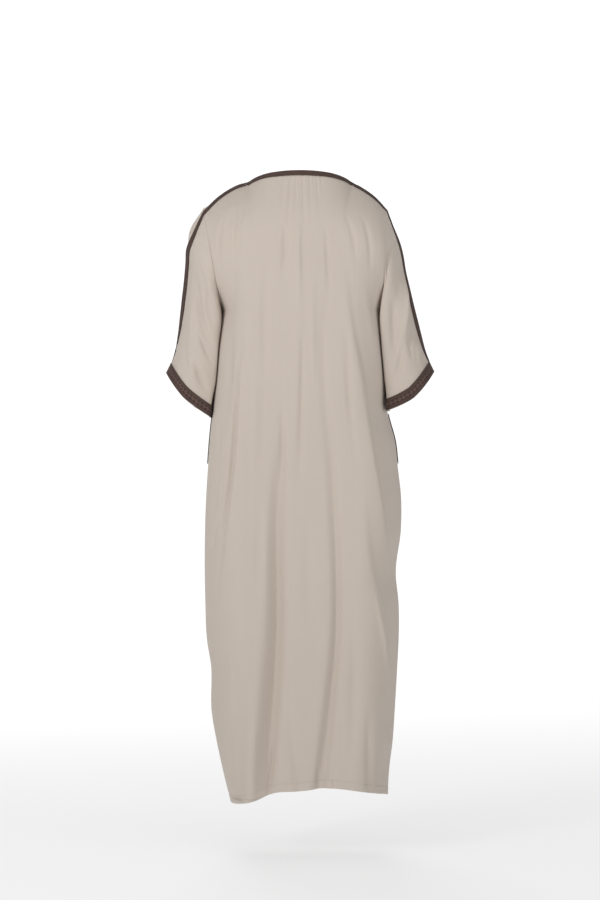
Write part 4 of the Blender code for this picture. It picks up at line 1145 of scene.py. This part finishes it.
def sew(name, rows, finish):
    """Sew rows of stitches. Each row is a line of points and its outward directions."""
    mesh = bmesh.new()
    for line, normals in rows:
        run = metres_along(line)
        for at in np.arange(STITCH_PITCH / 2, run[-1], STITCH_PITCH):
            here, ahead, out = (
                Vector([np.interp(place, run, values[:, axis]) for axis in range(3)])
                for place, values in ((at, line), (at + STITCH / 4, line), (at, normals)))
            along = (ahead - here).normalized() + Vector(steady.normal(0, STITCH_TILT, 3))
            side = out.cross(along).normalized()
            along = side.cross(out).normalized()
            turn = Matrix((along, side, out.normalized())).transposed().to_4x4()
            size = Matrix.Diagonal((STITCH / 2, THREAD_RADIUS, THREAD_RADIUS, 1.0))
            bmesh.ops.create_icosphere(mesh, subdivisions=1, radius=1.0,
                                       matrix=Matrix.Translation(here) @ turn @ size)
    piece = object_of(name, mesh, finish)
    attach(piece, "root")
    return piece


hem_thread = thread_finish("hem_thread", *HEM_THREAD)
hem_rows = []
for side in (BACK, FRONT):
    across = np.linspace(-HEM_REACH, HEM_REACH, HEM_POINTS)
    fall = np.full(HEM_POINTS, above_hem(HEM_TURN))
    normals = panel_normal(side, across, fall)
    line = panel_surface(side, across, fall) + normals * (hem_press(fall)[:, None] + THREAD_RADIUS)
    hem_rows.append((line, normals))
hem_stitches = sew("hem_stitches", hem_rows, hem_thread)

braid_thread = thread_finish("braid_sewing_thread", *BRAID_THREAD)
braid_rows = {}
for name, (laid, normals) in sewn.items():
    column = round(EDGE_ROW / FINE)
    for edge in (column, -1 - column):
        lifted = laid[:, edge] + normals[:, edge] * THREAD_RADIUS
        braid_rows.setdefault(name, []).append((lifted, normals[:, edge]))
stitches = {name: sew(name + "_braid_stitches", rows, braid_thread)
            for name, rows in braid_rows.items() if not name.startswith("pocket")}


# Floor, light and camera
# A plain pale studio floor that glows, as painted light: dimmer near the robe as painted shade, it
# brightens into the backdrop. The key lamp stands to the left of the camera, softer ones to its
# right, above and in front of the robe, with even light all round.

FLOOR = -1.548
CAMERA_HEIGHT = -0.621
CAMERA_AWAY = 6.03
LENS = 104.35
FLOOR_GREY = (0.25, 0.25, 0.252, 1.0)
FLOOR_NEAR = 0.3
FLOOR_FAR = 7.0
# The floor's glow is painted light, dimmed near the robe as painted shade and full far off.
SHADED_GLOW_NEAR = 0.60
GLOW_FAR = 1.0
ROUND_LIGHT = 0.24
BACKDROP = 1.1
LAMP_AIM = (0, 0, -0.6)
Lamp = namedtuple("Lamp", "name place size power")
LAMPS = (
    Lamp("key", (2.8, 3.6, 0.9), 1.2, 84),
    Lamp("side", (-3.4, 3.0, 0.2), 1.8, 36),
    Lamp("front", (0.8, -4.0, 1.8), 2.6, 90),
    Lamp("top", (0.3, 1.2, 3.4), 2.0, 33),
)

mesh = bmesh.new()
bmesh.ops.create_grid(mesh, x_segments=1, y_segments=1, size=30.0)
bmesh.ops.translate(mesh, vec=(0, 0, FLOOR), verts=mesh.verts[:])
# Painted light and shade: the floor glows, less near the robe and more far away.
floor_paint = Finish("pale_floor", {
    "Roughness": 0.9, "Base Color": FLOOR_GREY, "Emission Strength": 1.0})
spread = floor_paint.node("TexCoord", {}, {}, output=3)
away = floor_paint.node("VectorMath", {"operation": "LENGTH"}, {0: spread}, output=1)
glow = floor_paint.node("MapRange", {"interpolation_type": "SMOOTHSTEP"}, {
    "Value": away, "From Min": FLOOR_NEAR, "From Max": FLOOR_FAR,
    "To Min": SHADED_GLOW_NEAR, "To Max": GLOW_FAR})
floor_paint.join(floor_paint.mix(glow, (0.0, 0.0, 0.0, 1.0), (1.0, 1.0, 1.0, 1.0)),
                 floor_paint.shader.inputs["Emission Color"])
floor = object_of("floor", mesh, floor_paint)

world = bpy.data.worlds.new("studio")
world.use_nodes = True
sky = world.node_tree.nodes["Background"]
sky.inputs["Color"].default_value = (1.0, 1.0, 1.0, 1.0)
path = world.node_tree.nodes.new("ShaderNodeLightPath")
seen = world.node_tree.nodes.new("ShaderNodeMapRange")
seen.inputs["To Min"].default_value = ROUND_LIGHT
seen.inputs["To Max"].default_value = BACKDROP
world.node_tree.links.new(path.outputs["Is Camera Ray"], seen.inputs["Value"])
world.node_tree.links.new(seen.outputs["Result"], sky.inputs["Strength"])
bpy.context.scene.world = world
bpy.context.scene.view_settings.view_transform = "Standard"

for lamp in LAMPS:
    light = bpy.data.lights.new(lamp.name, "AREA")
    light.shape = "SQUARE"
    light.size = lamp.size
    light.energy = lamp.power
    holder = bpy.data.objects.new(lamp.name, light)
    holder.location = lamp.place
    aim = Vector(LAMP_AIM) - Vector(lamp.place)
    holder.rotation_euler = aim.to_track_quat("-Z", "Y").to_euler()
    bpy.context.scene.collection.objects.link(holder)

eye = bpy.data.cameras.new("camera")
eye.lens = LENS
eye.sensor_width = 36.0
camera = bpy.data.objects.new("camera", eye)
camera.location = (0, CAMERA_AWAY, CAMERA_HEIGHT)
camera.rotation_euler = Vector((0, -1, 0)).to_track_quat("-Z", "Y").to_euler()
bpy.context.scene.collection.objects.link(camera)
bpy.context.scene.camera = camera
